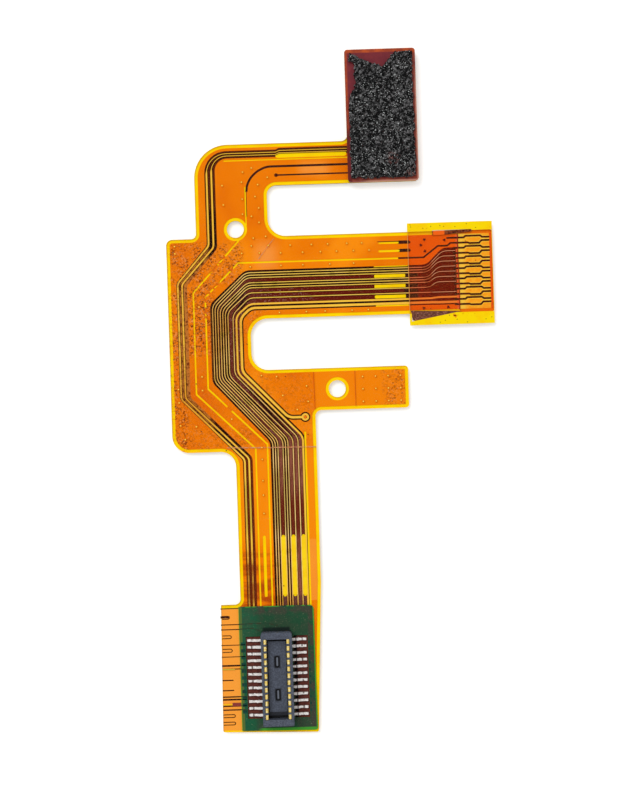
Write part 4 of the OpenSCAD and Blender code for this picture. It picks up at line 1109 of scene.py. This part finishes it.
class FLEX_OT_foam(bpy.types.Operator):
    """Makes the torn foam pad, a lumpy sheet cut along the pad's torn outline"""

    bl_idname = "flex.foam"
    bl_label = "Foam pad"

    def execute(self, context):
        form = context.scene.flex_foam
        (l, b, low), (r, h, top) = span("foam_pad")
        outline = [
            (l - 0.08, b - 0.03), (r + 0.05, b - 0.03), (r + 0.03, h), (r - 1.1, h), (r - 1.8, h - 0.85),
            (l + 0.75, h - 0.3), (l + 0.1, h), (l, h - 0.55), (l + 0.32, h - 0.75), (l + 0.32, h - 2.1),
            (l - 0.02, h - 2.6),
        ]
        vertices, faces, tone = foam_mesh(np.array(outline), low, top, form.cell / MM, form.relief / MM)
        t = Finish("foam", 0.9, 0.2)
        grit = t.times(t.minus(t.noise(5.0, 2.0, 0.6), 0.52), 2.2)
        fine = t.times(t.minus(t.noise(12.0, 2.0, 0.7), 0.56), 2.8)
        # The stored tone is painted shade, darker in the hollows and lighter on the lumps, with each crumb's own tone
        own = t.add("ShaderNodeAttribute", attribute_name="tone").outputs["Fac"]
        tint = t.math("ADD", own, t.plus(grit, fine), clamp=True)
        glint = t.times(t.spots(13.0, 1.0, 0.5, 0.65, 0.7), t.spots(1.3, 2.0, 0.5, 0.32, 0.5))
        pink = t.times(t.spots(15.0, 1.0, 0.5, 0.72, 0.78, t.vector("ADD", 3.1, 8.7, 0.0)), 0.6)
        marks = t.most(t.box((9.15, 3.5), (9.75, 4.1), 0.15), t.box((10.2, 2.7), (10.7, 3.3), 0.12))
        ring = t.times(marks, t.spots(6.0, 2.0, 0.5, 0.5, 0.6), 0.55)
        foam = t.colour("foam_deep", (tint, "foam"), (glint, "foam_glint", 0.9), (t.most(pink, ring), (134, 84, 78)))
        t.bump(t.noise(30.0, 3.0, 0.7), 0.5, 0.03)
        piece = new_piece("foam", [(vertices, faces)], foam)
        tag(piece, "tone", tone)
        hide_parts("foam_pad")
        return {"FINISHED"}


def value_noise(x, y, cell, seed):
    """Smooth random height at points: a seeded random lattice of the given spacing, blended by smooth steps."""
    rng = np.random.default_rng(seed)
    table = rng.random((256, 256))
    gx, gy = x / cell, y / cell
    ix, iy = np.floor(gx).astype(int), np.floor(gy).astype(int)
    fx, fy = gx - ix, gy - iy
    fx, fy = fx * fx * (3 - 2 * fx), fy * fy * (3 - 2 * fy)
    pick = lambda a, c: table[a % 256, c % 256]
    low = pick(ix, iy) * (1 - fx) + pick(ix + 1, iy) * fx
    high = pick(ix, iy + 1) * (1 - fx) + pick(ix + 1, iy + 1) * fx
    return low * (1 - fy) + high * fy


def inside(points, outline):
    """How deep each point is inside an outline, in millimetres and negative outside: the distance to the nearest
    side, with the sign from how many sides a ray to the right crosses."""
    a, b = outline, np.roll(outline, -1, axis=0)
    p = points[:, None]
    along = np.clip(((p - a) * (b - a)).sum(-1) / ((b - a) ** 2).sum(-1), 0, 1)
    distance = np.linalg.norm(p - (a + (b - a) * along[..., None]), axis=-1).min(1)
    crosses = (a[:, 1] > p[..., 1]) != (b[:, 1] > p[..., 1])
    rise = np.where(np.abs(b[:, 1] - a[:, 1]) < 1e-9, 1e-9, b[:, 1] - a[:, 1])
    x = a[:, 0] + (p[..., 1] - a[:, 1]) / rise * (b[:, 0] - a[:, 0])
    odd = (crosses & (p[..., 0] < x)).sum(1) % 2 == 1
    return np.where(odd, distance, -distance)


def crumbs(x, y, cell, seed):
    """Rounded crumbs: in a square lattice of the given spacing every cell holds one seeded random point. Gives at
    each place how near the nearest point is, from 1 on it to 0 a cell away, and that point's own random number."""
    rng = np.random.default_rng(seed)
    dx, dy, own = rng.random((3, 256, 256))
    gx, gy = x / cell, y / cell
    ix, iy = np.floor(gx).astype(int), np.floor(gy).astype(int)
    best, value = np.full(x.shape, 9.0), np.zeros(x.shape)
    for i in (-1, 0, 1):
        for j in (-1, 0, 1):
            a, c = (ix + i) % 256, (iy + j) % 256
            away = np.hypot(ix + i + dx[a, c] - gx, iy + j + dy[a, c] - gy)
            nearer = away < best
            best, value = np.where(nearer, away, best), np.where(nearer, own[a, c], value)
    return np.clip(1 - best, 0, 1), value


def foam_mesh(outline, low, top, cell, relief):
    """A closed slab over a grid: its top is the pad's height less crumbs of two sizes and a noise, sinks towards
    the edge, and its edge wanders by a slower noise. Grid cells whose corners are all inside are kept, and walls
    join the top to the bottom along the cells' free sides. Also gives each corner's tone, from height and crumb:
    painted shade that darkens the hollows and lightens the lumps, with each crumb's own random tone."""
    lo, hi = outline.min(0) - 0.1, outline.max(0) + 0.1
    nx, ny = int((hi[0] - lo[0]) / cell) + 1, int((hi[1] - lo[1]) / cell) + 1
    gx, gy = np.meshgrid(lo[0] + cell * np.arange(nx), lo[1] + cell * np.arange(ny), indexing="ij")
    x, y = gx.ravel(), gy.ravel()
    depth = inside(np.column_stack([x, y]), outline)
    depth = depth + 0.05 - 0.12 * value_noise(x, y, 0.17, 5) - 0.09 * value_noise(x, y, 0.07, 8)
    keep = (depth > 0.0).reshape(nx, ny)
    cells = keep[:-1, :-1] & keep[1:, :-1] & keep[:-1, 1:] & keep[1:, 1:]
    sway_x = x + 0.12 * value_noise(x, y, 0.2, 11)
    sway_y = y + 0.12 * value_noise(x, y, 0.2, 12)
    big, own = crumbs(sway_x, sway_y, 0.21, 1)
    small, own_small = crumbs(sway_x, sway_y, 0.1, 2)
    broad = value_noise(x, y, 0.9, 4)
    lumps = 0.42 * big + 0.3 * small + 0.25 * value_noise(x, y, 0.07, 3) + 0.03 * broad
    # Painted shade: the tone follows the lumps' height, darker in the hollows and lighter on top, plus each crumb's
    # own random tone
    tone = 1.9 * (lumps - 0.5) + 0.35 * (own - 0.45) + 0.6 * (own_small - 0.5) + 0.06 * (broad - 0.5) + 0.09
    edge = np.clip(depth / 0.2, 0, 1)
    z = top - relief * (1.05 - lumps) - 0.3 * (top - low) * (1 - edge) ** 2
    ix, iy = np.nonzero(cells)
    v = lambda i, j: i * ny + j
    corner = np.column_stack([v(ix, iy), v(ix + 1, iy), v(ix + 1, iy + 1), v(ix, iy + 1)])
    n = nx * ny
    faces = [corner, corner[:, ::-1] + n]
    padded = np.pad(cells, 1)
    for di, dj, a, b in ((0, -1, 0, 1), (1, 0, 1, 2), (0, 1, 2, 3), (-1, 0, 3, 0)):
        free = ~padded[ix + 1 + di, iy + 1 + dj]
        p, q = corner[free, a], corner[free, b]
        faces.append(np.column_stack([q, p, p + n, q + n]))
    faces = np.vstack(faces)
    points = np.vstack([np.column_stack([x, y, z]), np.column_stack([x, y, np.full(n, low)])])
    used, index = np.unique(faces, return_inverse=True)
    tones = np.tile(np.clip(tone, 0, 1), 2)
    return points[used], index.reshape(-1, 4).tolist(), tones[used]


class FLEX_OT_backing(bpy.types.Operator):
    """Finishes the pieces bonded on the underside: the connector's backing plate and the adhesive patches"""

    bl_idname = "flex.backing"
    bl_label = "Backing pieces"

    def execute(self, context):
        t = Finish("steel", 0.35, 0.5, 1.0)
        grain = t.noise(1.0, 3.0, 0.6, t.vector("MULTIPLY", 2.0, 40.0, 1.0))
        steel = t.colour((196, 192, 184), (t.ramp(grain, 0.35, 0.7), (172, 168, 160)))
        t.bump(grain, 0.2, 0.005)
        dress(steel, "connector_stiffener")

        t = Finish("adhesive", 0.45, 0.3)
        adhesive = t.colour((214, 170, 100), (t.spots(1.5, 3.0, 0.6, 0.4, 0.7), (196, 146, 78)))
        t.bump(t.noise(8.0, 3.0, 0.6), 0.3, 0.02)
        dress(adhesive, "body_adhesive", "tab_adhesive")
        return {"FINISHED"}


class FLEX_OT_stage(bpy.types.Operator):
    """Makes the pale floor, the soft studio light and the camera above the cable"""

    bl_idname = "flex.stage"
    bl_label = "Stage"

    def execute(self, context):
        scene, stage = context.scene, context.scene.flex_stage
        scene.view_settings.view_transform = "Standard"
        size, z = 0.6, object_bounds()[0][2] - 0.00001
        mesh = bpy.data.meshes.new("floor")
        mesh.from_pydata([(-size, -size, z), (size, -size, z), (size, size, z), (-size, size, z)], [], [(0, 1, 2, 3)])
        # What the camera sees of the floor, also in reflections, is a little brighter than what lights the cable
        t = Finish("floor", 0.9, 0.1, placed=False)
        path = t.add("ShaderNodeLightPath").outputs
        seen = t.most(path["Is Camera Ray"], t.most(path["Is Glossy Ray"], path["Is Transmission Ray"]))
        t.set("Emission Color", WHITE)
        t.set("Emission Strength", t.times(seen, 0.32))
        mesh.materials.append(t.colour((246, 246, 246)))
        floor = bpy.data.objects.new("floor", mesh)
        scene.collection.objects.link(floor)
        floor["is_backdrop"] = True

        world = bpy.data.worlds.new("studio")
        scene.world = world
        world.use_nodes = True
        background = world.node_tree.nodes["Background"].inputs
        background["Color"].default_value = WHITE
        background["Strength"].default_value = stage.fill_strength

        lamp = bpy.data.lights.new("key", "SUN")
        lamp.energy = stage.key_strength
        lamp.angle = math.radians(35)
        key = bpy.data.objects.new("key", lamp)
        key.rotation_euler = (math.radians(-28), math.radians(-24), 0)
        scene.collection.objects.link(key)

        camera = bpy.data.cameras.new("camera")
        camera.sensor_fit = "VERTICAL"
        camera.angle = 2 * math.atan(stage.view_height / 2 / stage.camera_height)
        camera.clip_start, camera.clip_end = 0.001, 10
        view = bpy.data.objects.new("camera", camera)
        view.location = (0.004667, -0.01022, stage.camera_height + 0.00015)
        view.rotation_euler = (0, 0, -stage.turn)
        scene.collection.objects.link(view)
        scene.camera = view
        return {"FINISHED"}


class FLEX_PT_panel(bpy.types.Panel):
    bl_label = "Flex Cable"
    bl_idname = "FLEX_PT_panel"
    bl_space_type = "VIEW_3D"
    bl_region_type = "UI"
    bl_category = "Flex Cable"

    def draw(self, context):
        for step in STEPS:
            self.layout.operator(step.bl_idname)
        for group in SETTINGS:
            settings = getattr(context.scene, group)
            for key in settings.bl_rna.properties.keys():
                if key not in ("rna_type", "name"):
                    self.layout.prop(settings, key)


SETTINGS = {"flex_look": FlexLook, "flex_foam": FlexFoam, "flex_stage": FlexStage}
STEPS = (
    FLEX_OT_film,
    FLEX_OT_copper,
    FLEX_OT_cover,
    FLEX_OT_resist,
    FLEX_OT_connector,
    FLEX_OT_tape,
    FLEX_OT_stiffener,
    FLEX_OT_foam,
    FLEX_OT_backing,
    FLEX_OT_stage,
)
CLASSES = (*SETTINGS.values(), *STEPS, FLEX_PT_panel)


def register():
    for cls in CLASSES:
        bpy.utils.register_class(cls)
    for group, cls in SETTINGS.items():
        setattr(bpy.types.Scene, group, bpy.props.PointerProperty(type=cls))


def unregister():
    for group in SETTINGS:
        delattr(bpy.types.Scene, group)
    for cls in reversed(CLASSES):
        bpy.utils.unregister_class(cls)


def main():
    register()
    build_groups()
    for step in STEPS:
        family, name = step.bl_idname.split(".")
        getattr(getattr(bpy.ops, family), name)()


if __name__ == "__main__":
    main()
